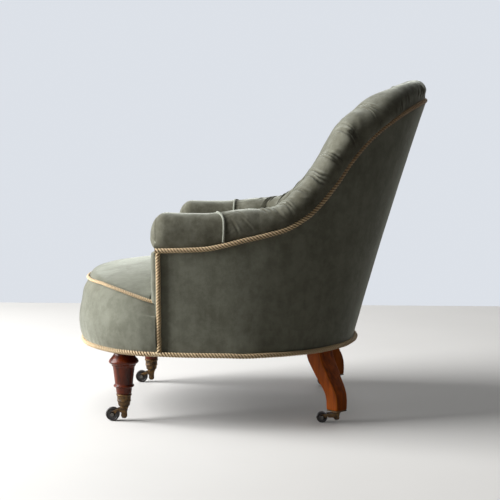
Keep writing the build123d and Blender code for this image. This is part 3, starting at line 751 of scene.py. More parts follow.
@dataclass
class Padding:
    """Rolled padding of the back and the arms: its outline in a slice."""

    roll_height: Points = ((-.190, .0755), (-.120, .0725), (-.050, .0645), (0, .0585), (.060, .0510),
                           (.090, .065), (.127, .091), (.146, .105), (.165, .116), (.190, .121),
                           (.215, .102), (.240, .080), (.266, .067), (.300, .060), (.347, .0503),
                           (.388, .0382))
    thickness: Points = ((-.190, .082), (0, .084), (.130, .093), (.180, .106), (.225, .103), (.300, .093),
                         (.345, .087), (.388, .080))
    foot_thickness: Points = ((-.190, .078), (0, .082), (.150, .100), (.388, .116))
    roll: tuple[RollPoint, ...] = (
        RollPoint(0.0, 0.17, 0.6, -0.8), RollPoint(0.0, 0.40, 0.9, -1.0), RollPoint(0.0, 0.64, 1.0, -0.2),
        RollPoint(0.10, 0.855, 0.85), RollPoint(0.25, 0.965, 0.4), RollPoint(0.42, 1.0, drop=0.03),
        RollPoint(0.62, 0.975, drop=0.19), RollPoint(0.80, 0.875, drop=0.40),
        RollPoint(0.94, 0.69, drop=0.46), RollPoint(1.0, 0.44, drop=0.36))
    sewn_edge: tuple[float, float] = (0.0008, 0.001)
    face: tuple[float, ...] = (0.12, 0.3, 0.5, 0.7, 0.88, 1.0)
    leaning: tuple[float, float] = (0.27, 0.375)
    bulge: float = 0.0050
    set_in: float = 0.0085
    tuck: float = 0.262
    lining: float = 0.032
    puff: float = 0.004

    def outline(self, slices: Slices, count: int) -> tuple[Array, Array, Array]:
        """Outline from the rope line over the roll and down the inner face.

        Args:
            slices: the upright slices.
            count: places in each outline.

        Returns:
            Offsets (slices, count, 2), their distance along the outline, and the distance at which the
            inner face starts.
        """
        h, t = follow(self.roll_height, slices.y), follow(self.thickness, slices.y)
        foot = follow(self.foot_thickness, slices.y)
        low = slices.above_for(self.tuck, foot)
        lean = smoothstep(*self.leaning, slices.y)
        bulge, inner = self.bulge * (1 - lean), self.set_in * lean
        keys = [(self.sewn_edge[0] + 0.2 * inner, self.sewn_edge[1] + 0 * h)]
        for point in self.roll:
            keys.append((point.across * t + point.set_in * inner + point.bulge * bulge,
                         (point.height - point.drop * lean) * h))
        top = keys[-1][1]
        for part in self.face:
            belly = self.puff * 4 * part * (1 - part)
            keys.append((t + (foot - t) * part + belly, top + (low - top) * part))
        keys = np.stack([np.stack(pair, axis=1) for pair in keys], axis=1)
        offsets, distance = along_path(keys, count)
        legs = np.linalg.norm(np.diff(keys[:, :1 + len(self.roll)], axis=1), axis=2)
        return offsets, distance, legs.sum(axis=1)

    def closed(self, offsets: Array) -> Array:
        """The outline closed by its hidden underside, which hooks over the top rail.

        Args:
            offsets: the open outline, shape (slices, places, 2).

        Returns:
            The closed one, with three places more.
        """
        low = offsets[:, -1, 1]
        lining = np.full_like(low, self.lining)
        under = [np.stack([lining, low], axis=1), np.stack([lining, low * 0.5], axis=1),
                 np.stack([lining, np.full_like(low, 0.001)], axis=1)]
        return np.concatenate([offsets, np.stack(under, axis=1)], axis=1)


@dataclass(frozen=True)
class Crease:
    """One short crease of the roll, in metres along the rope line and over the roll.

    It runs over the roll squarely to the rope line, but for its slant and bend. Its middle is at (along,
    over), half is half its length, and its depth is a share of the tufting's crease depth.
    """

    along: float
    over: float
    half: float
    width: float
    depth: float
    slant: float
    bend: float

    def depth_at(self, along: Array, over: Array) -> Array:
        """Share of the crease depth at places, with the small ridge it throws up beside it."""
        far = over - self.over
        gap = along - self.along - self.slant * far - self.bend * far ** 2
        line = bell(gap, self.width) - 0.5 * bell(gap, 1.4 * self.width, 2.1 * self.width)
        return self.depth * line * smoothstep(self.half, 0.35 * self.half, np.abs(far))


@dataclass(frozen=True)
class CreaseKind:
    """A kind of crease: the range of each of its measures, as Crease names them."""

    over: tuple[float, float]
    half: tuple[float, float]
    width: tuple[float, float]
    depth: tuple[float, float]
    slant: tuple[float, float]
    bend: tuple[float, float]
    one_way: bool = False

    def draw(self, rng: np.random.Generator, place: float, slant: float = 0.0, flip: int = 1) -> Crease:
        """One crease of this kind at a place along the rope line; flip turns its own slant over."""
        spans = (self.over, self.half, self.width, self.depth, self.slant, self.bend)
        over, half, width, depth, lean, bend = (rng.uniform(*span) for span in spans)
        return Crease(place, over, half, width, depth, slant + flip * lean, bend)


@dataclass
class Tufting:
    """Deep buttoning: columns round the back, rows down it, and pleats between the buttons.

    Columns are turns, each with the strength of its pleat over the roll. Bundles are turns with the number
    of creases in each.
    """

    columns: tuple[float, ...] = (8, 17, 24, 30.5, 38, 46, 59, 74.5, 90)
    rows: int = 4
    row_spacing: float = 0.084
    first_row: float = 0.030
    groove: float = 0.0060
    dip: float = 0.0105
    dip_reach: float = 0.017
    puff: float = 0.0060
    puff_reach: float = 0.020
    spread: float = 0.0048
    sway: float = 0.007
    column_widths: tuple[float, float] = (0.02, 0.2)
    row_blend: float = 0.12
    tucked: tuple[float, float] = (-1.25, -0.05)
    roll_swell: float = 0.18
    strengths: tuple[float, ...] = (0.55, 0.65, 0.9, 1.0, 0.9, 0.95, 0.6, 0.45, 0.4)
    bundles: Points = ((47.5, 4), (38.5, 4), (33.5, 3), (29.0, 3), (23.5, 2), (16.0, 4), (9.5, 3))
    bundle_gap: float = 0.0052
    slant: float = 0.10
    steeper: float = 0.26
    stray: float = 0.001
    pleat: CreaseKind = CreaseKind((0.088, 0.118), (0.060, 0.082), (0.0012, 0.0018), (1.3, 2.1),
                                   (-0.07, 0.07), (-1.2, 1.2))
    gather: CreaseKind = CreaseKind((0.03, 0.13), (0.012, 0.034), (0.0016, 0.0026), (0.25, 0.75),
                                    (0.15, 0.7), (-3, 3), one_way=True)
    tuck: CreaseKind = CreaseKind((0.018, 0.032), (0.010, 0.020), (0.0012, 0.0022), (0.4, 1.0),
                                  (-0.3, 0.3), (-4, 4))
    gathers: int = 26
    tucks: int = 12
    gather_span: tuple[float, float] = (1.0, 36.0)
    tuck_span: tuple[float, float] = (46.0, 86.0)
    crease_depth: float = 0.0021
    seed: int = 11
    all_columns: Array = field(init=False)

    def __post_init__(self) -> None:
        """Mirrors the columns to the other side."""
        self.all_columns = np.array(list(self.columns) + [180 - c for c in reversed(self.columns[:-1])])

    def lattice(self, slices: Slices, turns: Array, above: Array,
                down: Array) -> tuple[Array, Array, Array]:
        """Column and row numbers of places; pleats leave the rope line squarely where it climbs.

        Args:
            slices: the upright slices.
            turns: their turns.
            above: height of each place above the rope line.
            down: distance of each place below the first row.

        Returns:
            Column numbers, whole on the columns, row numbers, whole on the rows, and metres along the rope
            line.
        """
        step = np.gradient(slices.rope, axis=0) / np.gradient(turns)[:, None]
        level = np.linalg.norm(step[:, :2], axis=1)
        climb = np.arctan2(step[:, 2], level)
        climbed = np.maximum.accumulate(np.maximum(above, 0), axis=1)
        lean = (climbed - 0.5 * climbed[:, -1:]) * (np.sin(climb) * np.cos(climb) / level)[:, None]
        c = self.all_columns
        ends = np.concatenate([[c[0] - 9], c, [c[-1] + 9]])
        read = turns[:, None] + lean
        along = np.interp(read, turns, run(slices.rope))
        return np.interp(read, ends, np.arange(-1, len(c) + 1)), down / self.row_spacing, along

    def crease_list(self, turns: Array, length: Array) -> list[Crease]:
        """Pleats that leave the roll in bundles, gathers along the arms and tucks at the upper rope.

        Args:
            turns: turns of the slices.
            length: metres along the rope line of each slice.

        Returns:
            The creases of both sides.
        """
        rng = np.random.default_rng(self.seed)
        found = []
        for side in (1, -1):
            lap = turns if side > 0 else (180 - turns)[::-1]
            reach = length if side > 0 else length[::-1]
            for turn, count in self.bundles:
                slant = -side * (self.slant + self.steeper * float(smoothstep(40.0, 14.0, turn)))
                for k in range(int(count)):
                    place = np.interp(turn, lap, reach) + (k - (count - 1) / 2) * self.bundle_gap
                    place += rng.uniform(-self.stray, self.stray)
                    found.append(self.pleat.draw(rng, place, slant))
            for kind, count, span in ((self.gather, self.gathers, self.gather_span),
                                      (self.tuck, self.tucks, self.tuck_span)):
                for _ in range(count):
                    place = np.interp(rng.uniform(*span), lap, reach)
                    found.append(kind.draw(rng, place, flip=-side if kind.one_way else 1))
        return found

    def creases(self, turns: Array, along: Array, over: Array) -> Array:
        """Depth of all creases at places, in metres.

        Args:
            turns: turns of the slices.
            along: metres along the rope line of each place.
            over: metres over the roll of each place.

        Returns:
            How deep each place lies.
        """
        length = along[:, 0]
        result = np.zeros_like(along)
        for crease in self.crease_list(turns, length):
            near = (along.min(axis=1) < crease.along + 0.03) & (along.max(axis=1) > crease.along - 0.03)
            rows = np.where(near)[0]
            result[rows] += crease.depth_at(along[rows], over[rows])
        return self.crease_depth * result

    def relief(self, base: Array, u: Array, v: Array) -> Array:
        """How far each place of the cover stands proud of (or below) its plain surface.

        Args:
            base: places of the plain surface, shape (slices, count, 3).
            u: column number of each place.
            v: row number of each place.

        Returns:
            The relief in metres.
        """
        step = np.linalg.norm(np.gradient(base, axis=0), axis=2)
        wide = np.clip(step / np.maximum(np.abs(np.gradient(u, axis=0)), 1e-5), *self.column_widths)
        near = self.nearest(u)
        strength = np.array(self.strengths + self.strengths[-2::-1])[near]
        over = smoothstep(self.row_blend, -self.row_blend, v)
        distance = self.from_pleats(u, v, wide, over)
        tucked = smoothstep(*self.tucked, v)
        slack = 1 - self.roll_swell
        swell = (1 - np.exp(-distance / self.puff_reach)) * (1 - over * (slack - slack * tucked))
        groove = 0.6 * bell(distance, self.spread) + 0.4 * np.exp(-distance / (2.6 * self.spread))
        sunk = groove * (1 - over * (1 - tucked * strength))
        pit = np.exp(-(self.from_buttons(u, v, wide) / self.dip_reach) ** 1.6)
        return self.puff * swell - self.groove * sunk - self.dip * pit

    def nearest(self, u: Array) -> Array:
        """Number of the nearest column."""
        return np.clip(np.round(u), 0, len(self.all_columns) - 1).astype(int)

    def from_pleats(self, u: Array, v: Array, wide: Array, over: Array) -> Array:
        """Distance from the pleats: straight over the roll and below the last row, crossing between.

        Args:
            u: column number of each place.
            v: row number of each place.
            wide: width of a column at each place.
            over: 1 over the roll and 0 below the first row.

        Returns:
            The distance in metres.
        """
        rng = np.random.default_rng(self.seed)
        last = len(self.all_columns) - 1
        near = self.nearest(u)
        sway = rng.uniform(-1, 1, last + 1)[near] * self.sway * np.sin(np.clip(-v, 0, 3) * 1.9)
        straight = (u - near) * wide + sway
        below = smoothstep(self.rows - 1.1, self.rows - 0.9, v)
        half = (self.rows - 1) % 2 * 0.5
        hanging = np.abs(u - np.clip(np.round(u - half), 0, last) - half) * wide
        slope = np.sqrt((1 / wide) ** 2 + (0.5 / self.row_spacing) ** 2)
        crossing = np.minimum(*(np.abs(a - np.clip(np.round(a), -2, last + 2)) / slope
                                for a in (u - v / 2, u + v / 2)))
        return np.abs(straight) * over + hanging * below + crossing * (1 - over - below)

    def from_buttons(self, u: Array, v: Array, wide: Array) -> Array:
        """Distance in metres from the nearest button; every other row stands half a column over."""
        row = np.clip(np.round(v), 0, self.rows - 1)
        shift = np.where(row % 2 == 1, 0.5, 0.0)
        column = np.clip(np.round(u - shift), 0, len(self.all_columns) - 1) + shift
        return np.sqrt(((u - column) * wide) ** 2 + ((v - row) * self.row_spacing) ** 2)

    def buttons(self, u: Array, v: Array) -> list[tuple[int, int]]:
        """Slice and place numbers of the grid points that carry a button.

        Args:
            u: column number of each place.
            v: row number of each place.

        Returns:
            The numbers, one pair for each button.
        """
        found = []
        for row in range(self.rows):
            shift = 0.5 if row % 2 else 0.0
            for number in np.arange(shift, len(self.all_columns) - 0.9, 1.0):
                miss = np.abs(u - number) * 0.05 + np.abs(v - row) * self.row_spacing
                found.append(tuple(int(k) for k in np.unravel_index(np.argmin(miss), miss.shape)))
        return found


# ---------------- upholstery

@dataclass
class TubUpholstery:
    """Inside back, arm pads, piping, buttons, outer cover and arm facings."""

    tub: Tub
    padding: Padding
    tufting: Tufting
    # the piped seam on the arm and how it bows over the roll
    seam_turn: float = -1.6
    seam_gap: float = 0.08
    seam_fade: float = 3.5
    seam_bow: float = 0.012
    bow_stop: float = -1.15
    piping_radius: float = 0.0026
    piping_lift: float = 0.0012
    # how finely the covers are made, as slices and places in each
    slice_count: int = 1300
    around: int = 150
    arm_around: int = 130
    cover_places: tuple[int, int] = (300, 70)
    # soft unevenness, held back near the sewn edges
    back_lumps: tuple[Layer, ...] = ((0.055, 0.0016, 0.0), (0.018, 0.0005, 5.0))
    arm_lumps: Layer = (0.05, 0.0016, 3.0)
    cover_pull: Layer = (0.06, 0.0011, 9.0)
    cover_lumps: Layer = (0.02, 0.0003, 2.0)
    taut: float = 0.02
    tug: float = 0.0005
    pucker: float = 0.0008
    gather: float = 0.0014
    gather_seed: int = 3
    # depths that get the full painted shade, how much stronger the creases' painted shade is than their
    # depth, and a painted highlight, partly wear, along the crest of the roll
    back_deepest: float = 0.0055
    arm_deepest: float = 0.004
    cover_deepest: float = 0.006
    crease_look: float = 3.1
    creases_stop: tuple[float, float] = (0.66, 0.86)
    crest: float = 0.60
    crest_width: float = 0.16
    back_wear_and_highlight: float = 0.55
    arm_wear_and_highlight: float = 0.7
    # rounded front end of the arm, which closes to its pole
    nose_reach: float = 0.0125
    nose_round: float = 0.036
    pole: tuple[float, float] = (0.034, 0.027)
    # buttons
    button_radius: float = 0.0085
    button_lift: float = 0.0035
    lowest_button: float = 0.372
    # panel that closes the arm's front
    panel_turn: float = -15.9
    panel_top: float = 0.3725
    panel_inset: float = 0.0004
    panel_width: float = 0.079
    panel_crown: float = 0.0115
    panel_rounding: tuple[float, float] = (0.014, 0.006)
    # plain cover outside
    cover_hollow: float = 0.0035
    cover_cloth: float = 0.0024

    def build(self) -> None:
        """Makes all its pieces."""
        self.make_back()
        self.make_outer_cover()
        for name, mirror in (("left", False), ("right", True)):
            self.make_arm(name, mirror)

    def push_out(self, offsets: Array, amount: Array) -> Array:
        """Moves outline places along their outward normal in the slice."""
        way = unit(np.gradient(offsets, axis=1))
        normal = np.stack([-way[..., 1], way[..., 0]], axis=2)
        return offsets + normal * amount[..., None]

    def make_back(self) -> None:
        """The pleated and buttoned cover of the inside back, with its buttons."""
        share = np.linspace(0, 1, self.slice_count)
        share -= 0.3 * np.sin(2 * math.pi * share) / (2 * math.pi)
        first = self.seam_turn + self.seam_gap
        turns = first + (180 - 2 * first) * share
        slices = self.tub.slices(turns)
        offsets, distance, start = self.padding.outline(slices, self.around)
        base = slices.at(offsets[..., 0], offsets[..., 1])
        u, v, along = self.tufting.lattice(slices, turns, offsets[..., 1],
                                           distance - start[:, None] - self.tufting.first_row)
        plain = self.tufting.relief(base, u, v)
        fine = self.tufting.creases(turns, along, distance)
        part = distance / start[:, None]
        fine *= 1 - 0.85 * smoothstep(*self.creases_stop, part)
        fade = self.grown(turns, distance)
        gathers = self.seam_gathers(turns, part)
        relief = (plain - fine) * fade + gathers
        # painted shade: the creases and seam gathers are drawn darker than their depth alone
        seen = (plain - self.crease_look * fine) * fade + 2 * gathers
        soft = lumps(base, *self.back_lumps) * smoothstep(0, self.taut, distance)
        offsets = self.push_out(offsets, relief + soft)
        loops = slices.at(*np.moveaxis(self.padding.closed(offsets), 2, 0))
        self.bow(loops, turns, part)
        shade = np.zeros(loops.shape[:2])
        # painted highlight, partly wear, along the crest of the roll
        crest_wear_and_highlight = self.back_wear_and_highlight * bell(part, self.crest_width, self.crest)
        # painted shade in hollows and creases, painted highlight on the puffs
        shade[:, :self.around] = seen / self.back_deepest + crest_wear_and_highlight
        piece = loop_piece("back_upholstery", loops, finish(Finish.SHADED_ROLL_VELVET), relief=shade)
        dress(piece, "chair", "velvet", "back_cover", "back_stuffing", "wing_stuffing_left",
              "wing_stuffing_right")
        self.make_buttons(loops, u, v)

    def grown(self, turns: Array, distance: Array) -> Array:
        """How far the tufting has grown in from the rope line and the arm seams, from 0 to 1."""
        edge = smoothstep(-0.002, 0.030, distance) * 0.85 + 0.15 * smoothstep(0, 0.006, distance)
        ends = smoothstep(0, self.seam_fade, np.minimum(turns - turns[0], turns[-1] - turns))
        return edge * ends[:, None]

    def seam_gathers(self, turns: Array, part: Array) -> Array:
        """Small gathers of the pleated cover where it is sewn to the piped arm seams.

        Args:
            turns: turns of the slices.
            part: how far over the roll each place is.

        Returns:
            The relief in metres.
        """
        rng = np.random.default_rng(self.gather_seed)
        result = np.zeros_like(part)
        for seam, sign in ((self.seam_turn, 1.0), (180 - self.seam_turn, -1.0)):
            into = (sign * (turns - seam))[:, None]
            for mark in np.arange(0.18, 1.2, 0.085):
                mark += rng.uniform(-0.025, 0.025)
                length, depth = rng.uniform(2.0, 5.5), rng.uniform(0.5, 1.0)
                fold = bell(part - mark - 0.012 * into, 0.013) * smoothstep(length, 0.2, into) * (into > 0)
                result -= self.gather * depth * fold
        return result

    def bow(self, loops: Array, turns: Array, part: Array) -> None:
        """Bows the slices near the arm seams, which run back over the roll in a curve.

        Args:
            loops: places in the chair, which are moved.
            turns: turns of the slices.
            part: how far over the roll each place is.
        """
        falloff = bell(turns, 4, self.seam_turn) + bell(turns, 4, 180 - self.seam_turn)
        rise = np.clip(part, 0, 1)
        curve = 0.3 - 5.0 * (rise - 0.22) ** 2 - 15.0 * np.maximum(rise - 0.3, 0) ** 2
        curve = self.seam_bow * np.maximum(curve, self.bow_stop)
        loops[:, :part.shape[1], 1] += curve * falloff[:, None]

    def make_buttons(self, loops: Array, u: Array, v: Array) -> None:
        """Covered buttons pressed into the tufts.

        Args:
            loops: places of the cover.
            u: column number of each place.
            v: row number of each place.
        """
        places, facings = [], []
        for i, j in self.tufting.buttons(u, v):
            place = loops[i, j]
            if place[2] < self.lowest_button:
                continue
            ring = [loops[i + a, j + b] for a in (-8, 8) for b in (-4, 4)]
            facing = unit(np.cross(ring[3] - ring[0], ring[2] - ring[1]))
            inward = np.array([0.0, -0.05, 0.42]) - place
            facing = facing if facing @ inward > 0 else -facing
            places.append(place + facing * self.button_lift)
            facings.append(facing)
        piece = button_field("back_buttons_covered", np.array(places), np.array(facings), self.button_radius,
                             finish(Finish.SHADED_ROLL_VELVET))
        dress(piece, "chair", "velvet", "back_buttons")

    def make_arm(self, name: str, mirror: bool) -> None:
        """Smooth arm pad with its rounded nose, the piped seam behind it and the facing below it.

        Args:
            name: the side.
            mirror: whether it is the right arm, a mirror of the left one.
        """
        turns = np.linspace(self.seam_turn - self.seam_gap, self.tub.arm_end + 0.75, 90)
        turns = np.concatenate([turns, [self.tub.arm_end + 0.35, self.tub.arm_end]])
        slices = self.tub.slices(turns)
        offsets, distance, start = self.padding.outline(slices, self.arm_around)
        base = slices.at(offsets[..., 0], offsets[..., 1])
        tugs = np.sin(distance / 0.011 + cloud(base, 0.03) * 2.5) * smoothstep(-4.2, -1.8, turns)[:, None]
        puckers = np.sin(distance / 0.007) * smoothstep(-13.8, -15.6, turns)[:, None]
        soft = lumps(base, self.arm_lumps) + self.tug * tugs + self.pucker * puckers
        soft *= smoothstep(0, self.taut, distance)
        offsets = self.rounded_front(self.push_out(offsets, soft), slices.y)
        loops = slices.at(*np.moveaxis(self.padding.closed(offsets), 2, 0))
        part = distance / start[:, None]
        self.bow(loops, turns, part)
        loops = np.concatenate([loops, self.nose(offsets[-1], loops.shape[1])])
        shade = np.zeros(loops.shape[:2])
        # painted highlight, partly wear, along the crest of the roll
        crest_wear_and_highlight = self.arm_wear_and_highlight * bell(part, self.crest_width, self.crest)
        # painted shade in the dips of the arm cover and painted highlight on its lumps
        shade[:len(turns), :-3] = soft / self.arm_deepest + crest_wear_and_highlight
        piece = loop_piece("arm_pad_" + name, loops, finish(Finish.SHADED_ROLL_VELVET), relief=shade)
        piping = self.piping()
        facing = self.facing()
        if mirror:
            for thing in (piece, piping, facing):
                mirror_in_place(thing)
        dress(piece, "chair", "velvet", "arm_cover_" + name, "arm_stuffing_" + name)
        piping.name = "arm_seam_piping_" + name
        dress(piping, "chair", "piping", "arm_piping_" + name)
        facing.name = "arm_front_panel_" + name
        dress(facing, "chair", "velvet", "arm_facing_" + name)

    def rounded_front(self, offsets: Array, y: Array) -> Array:
        """Draws the roll in towards the arm's front, keeping the edge along the rope line.

        Args:
            offsets: outlines of the roll.
            y: place of each slice.

        Returns:
            The outlines drawn in.
        """
        bulk = rounding((y - self.tub.front_y + self.nose_reach) / self.nose_round)[:, None, None]
        pole = np.array(self.pole)
        loose = smoothstep(0.0, 0.022, offsets[..., 1:])
        return pole + (offsets - pole) * (1 - (1 - bulk) * loose)

    def nose(self, last: Array, count: int) -> Array:
        """Loops of the arm's rounded front end, above the rope line only.

        Args:
            last: outline of the arm pad's front slice, shape (places, 2).
            count: places in a closed loop of the arm pad.

        Returns:
            The loops, shape (loops, count, 3), closing to the middle of the roll.
        """
        slices = self.tub.slices(np.array([self.tub.arm_end]))
        high = np.where(last[:, 1] > 0.0035)[0]
        ring = np.zeros((count, 2))
        ring[high] = last[high]
        ring[:high[0]] = last[high[0]]
        ring[high[-1] + 1:] = np.linspace(last[high[-1]], last[high[0]], count - high[-1])[1:]
        pole = np.array(self.pole)
        around = np.arctan2(ring[:, 1] - pole[1], ring[:, 0] - pole[0])
        first = math.acos(1 - self.nose_reach / self.nose_round)
        gathers = smoothstep(0.3, -0.5, np.sin(around)) * np.sin(around * 15)
        result = []
        for angle in np.linspace(first, 0.03, 20):
            places = pole + (ring - pole) * (math.sin(angle) / math.sin(first))
            shaped = slices.at(places[None, :, 0], places[None, :, 1])[0]
            shaped[:, 1] -= self.nose_reach - self.nose_round * (1 - math.cos(angle)) + 0.0004
            shaped[:, 1] += 0.0011 * gathers * math.sin(angle)
            result.append(shaped)
        return np.array(result)

    def piping(self) -> Piece:
        """Piped seam over the arm roll, as a tube along the outline."""
        slices = self.tub.slices(np.array([self.seam_turn]))
        offsets, distance, start = self.padding.outline(slices, 160)
        offsets = self.push_out(offsets, np.full(distance.shape, self.piping_lift))
        loops = slices.at(offsets[..., 0], offsets[..., 1])
        self.bow(loops, np.array([self.seam_turn]), distance / start[:, None])
        places = loops[0][distance[0] > 0.006]
        return tube_piece("arm_seam_piping", places, self.piping_radius, finish(Finish.PIPING))

    def facing(self) -> Piece:
        """Narrow padded panel that closes the arm's front, crowned and softly edged."""
        heights = np.linspace(self.padding.tuck, self.panel_top, 40)
        slices = self.tub.slices(np.array([self.panel_turn]))
        share = 0.5 - 0.5 * np.cos(np.linspace(0, math.pi, 28))
        inward = self.panel_inset + (self.panel_width - self.panel_inset) * share
        side = rounding(np.minimum(inward - inward[0], inward[-1] - inward) / self.panel_rounding[0])
        loops = []
        for z in heights:
            row = slices.at(inward[None], slices.above_for(z, inward)[None])[0]
            edge = min(z - heights[0], heights[-1] - z) / self.panel_rounding[1]
            rise = side * (0.25 + 0.75 * rounding(edge))
            front, back = row.copy(), row[::-1].copy()
            front[:, 1] = self.tub.front_y + 0.0018 - self.panel_crown * rise + 0.0004 * np.sin(z * 160)
            back[:, 1] = self.tub.front_y + 0.0022
            loops.append(np.vstack([front, back]))
        loops = np.array(loops)
        return loop_piece("arm_front_panel", loops, finish(Finish.VELVET), relief=np.zeros(loops.shape[:2]))

    def make_outer_cover(self) -> None:
        """Plain cover stretched round the outside, slightly hollow between rope and skirt."""
        turns = np.linspace(self.tub.arm_end, 180 - self.tub.arm_end, self.cover_places[0])
        slices = self.tub.slices(turns)
        foot = slices.above_for(self.tub.skirt - 0.001, np.zeros(len(turns)))
        part = np.linspace(0, 1, self.cover_places[1])
        above = foot[:, None] * (1 - part)[None, :] - 0.0005
        round_back = np.maximum(np.sin(np.radians(slices.lap)), 0)[:, None]
        hollow = self.cover_hollow * round_back * (4 * part * (1 - part))[None, :]
        plain = slices.at(hollow, above)
        pull = lumps(plain * np.array([1, 1, 0.45]), self.cover_pull) + lumps(plain, self.cover_lumps)
        pull *= smoothstep(0, 0.08, part)[None, :] * smoothstep(0, 0.05, 1 - part)[None, :]
        outer = slices.at(hollow + pull * 0.7, above)
        inner = slices.at(hollow + self.cover_cloth, above)
        loops = np.concatenate([outer, inner[:, ::-1]], axis=1)
        # painted shade where the cloth is pulled out and painted highlight where it sinks, in upright streaks
        shade = np.concatenate([-pull / self.cover_deepest, 0 * pull], axis=1)
        piece = loop_piece("outer_cover_cloth", loops, finish(Finish.VELVET), relief=shade)
        dress(piece, "chair", "velvet", "outer_cover")


# ---------------- geometry nodes

def baked(name: str, verts: Array, edges: list, tree: Tree, values: dict[str, object],
          attributes: dict[str, Array] | None = None) -> Piece:
    """Runs a node tree on a bare mesh and keeps the result as a plain mesh.

    Args:
        name: the piece's name.
        verts: places of the bare mesh.
        edges: its edges.
        tree: the node tree.
        values: the tree's inputs by name.
        attributes: vectors for each place, by name.

    Returns:
        The new object.
    """
    mesh = bpy.data.meshes.new(name + "_path")
    mesh.from_pydata([tuple(v) for v in verts], edges, [])
    for key, vectors in (attributes or {}).items():
        layer = mesh.attributes.new(key, "FLOAT_VECTOR", "POINT")
        layer.data.foreach_set("vector", vectors.astype(np.float32).reshape(-1))
    carrier = add_object(name + "_carrier", mesh)
    modifier = carrier.modifiers.new("build", "NODES")
    modifier.node_group = tree
    sockets = {item.name: item.identifier for item in tree.interface.items_tree
               if item.item_type == "SOCKET" and item.in_out == "INPUT"}
    for key, value in values.items():
        modifier[sockets[key]] = value
    graph = bpy.context.evaluated_depsgraph_get()
    result = bpy.data.meshes.new_from_object(carrier.evaluated_get(graph))
    bpy.data.objects.remove(carrier)
    result.name = name
    smooth(result)
    return add_object(name, result)


def new_tree(name: str, inputs: dict[str, tuple[str, object]]) -> tuple[Tree, Nodes, dict]:
    """An empty geometry tree with named inputs.

    Args:
        name: the tree's name.
        inputs: socket type and default by name.

    Returns:
        The tree, its builder and the input sockets by name.
    """
    tree = bpy.data.node_groups.new(name, "GeometryNodeTree")
    tree.interface.new_socket("Geometry", in_out="INPUT", socket_type="NodeSocketGeometry")
    tree.interface.new_socket("Geometry", in_out="OUTPUT", socket_type="NodeSocketGeometry")
    for key, (kind, default) in inputs.items():
        socket = tree.interface.new_socket(key, in_out="INPUT", socket_type=kind)
        if default is not None:
            socket.default_value = default
    nodes = Nodes(tree)
    given = nodes.add("NodeGroupInput")
    return tree, nodes, {key: given.outputs[key] for key in ["Geometry", *inputs]}


def end_tree(nodes: Nodes, geometry: Socket, material: Socket) -> None:
    """Realises the instances, sets the material and ends the tree."""
    real = nodes.add("GeometryNodeRealizeInstances", {}, {"Geometry": geometry})
    done = nodes.add("GeometryNodeSetMaterial", {}, {"Geometry": real.outputs[0], "Material": material})
    nodes.add("NodeGroupOutput", {}, {"Geometry": done.outputs[0]})


def cord_tree() -> Tree:
    """Tree that lays twisted strands along a path."""
    tree, n, given = new_tree("twisted_cord", {
        "Strands": ("NodeSocketInt", 3), "Lay radius": ("NodeSocketFloat", 0.0028),
        "Strand radius": ("NodeSocketFloat", 0.0027), "Lead": ("NodeSocketFloat", 0.022),
        "Step": ("NodeSocketFloat", 0.0018), "Sides": ("NodeSocketInt", 8),
        "Material": ("NodeSocketMaterial", None)})
    path = n.add("GeometryNodeMeshToCurve", {}, {"Mesh": given["Geometry"]})
    even = n.add("GeometryNodeResampleCurve", {"mode": "LENGTH"}, {
        "Curve": path.outputs[0], "Length": given["Step"]})
    copies = n.add("GeometryNodeDuplicateElements", {"domain": "SPLINE"}, {
        "Geometry": even.outputs[0], "Amount": given["Strands"]})
    length = n.num("GeometryNodeSplineParameter", {}, {}, "Length")
    share = Num(n, copies.outputs["Duplicate Index"]) / Num(n, given["Strands"])
    angle = (length / Num(n, given["Lead"]) + share) * (2 * math.pi)
    tangent = n.add("GeometryNodeInputTangent").outputs[0]
    normal = n.add("GeometryNodeInputNormal").outputs[0]
    across = n.vector("CROSS_PRODUCT", {0: tangent, 1: normal})
    radius = Num(n, given["Lay radius"])
    one = n.vector("SCALE", {0: normal, "Scale": angle.cosine() * radius})
    two = n.vector("SCALE", {0: across, "Scale": angle.sine() * radius})
    offset = n.vector("ADD", {0: one, 1: two})
    laid = n.add("GeometryNodeSetPosition", {}, {"Geometry": copies.outputs[0], "Offset": offset})
    ring = n.add("GeometryNodeCurvePrimitiveCircle", {}, {
        "Resolution": given["Sides"], "Radius": given["Strand radius"]})
    strands = n.add("GeometryNodeCurveToMesh", {}, {
        "Curve": laid.outputs[0], "Profile Curve": ring.outputs[0], "Fill Caps": True})
    end_tree(n, strands.outputs[0], given["Material"])
    return tree


def button_tree() -> Tree:
    """Tree that sets a domed button on each point, facing its own way."""
    tree, n, given = new_tree("button_field", {
        "Radius": ("NodeSocketFloat", 0.0085), "Flatness": ("NodeSocketFloat", 0.45),
        "Material": ("NodeSocketMaterial", None)})
    dome = n.add("GeometryNodeMeshUVSphere", {}, {"Segments": 20, "Rings": 12, "Radius": given["Radius"]})
    flat = n.add("ShaderNodeCombineXYZ", {}, {0: 1.0, 1: 1.0, 2: given["Flatness"]})
    shaped = n.add("GeometryNodeTransform", {}, {"Geometry": dome.outputs[0], "Scale": flat.outputs[0]})
    facing = n.add("GeometryNodeInputNamedAttribute", {"data_type": "FLOAT_VECTOR"}, {"Name": "facing"})
    turn = n.add("FunctionNodeAlignRotationToVector", {"axis": "Z"}, {"Vector": facing.outputs[0]})
    points = n.add("GeometryNodeMeshToPoints", {}, {"Mesh": given["Geometry"]})
    placed = n.add("GeometryNodeInstanceOnPoints", {}, {
        "Points": points.outputs[0], "Instance": shaped.outputs[0], "Rotation": turn.outputs[0]})
    end_tree(n, placed.outputs[0], given["Material"])
    return tree


def button_field(name: str, places: Array, facings: Array, radius: float,
                 material: Material) -> Piece:
    """Buttons at places, each facing its own way."""
    values = {"Radius": radius, "Material": material}
    return baked(name, places, [], button_tree(), values, {"facing": facings})


# ---------------- rope trim

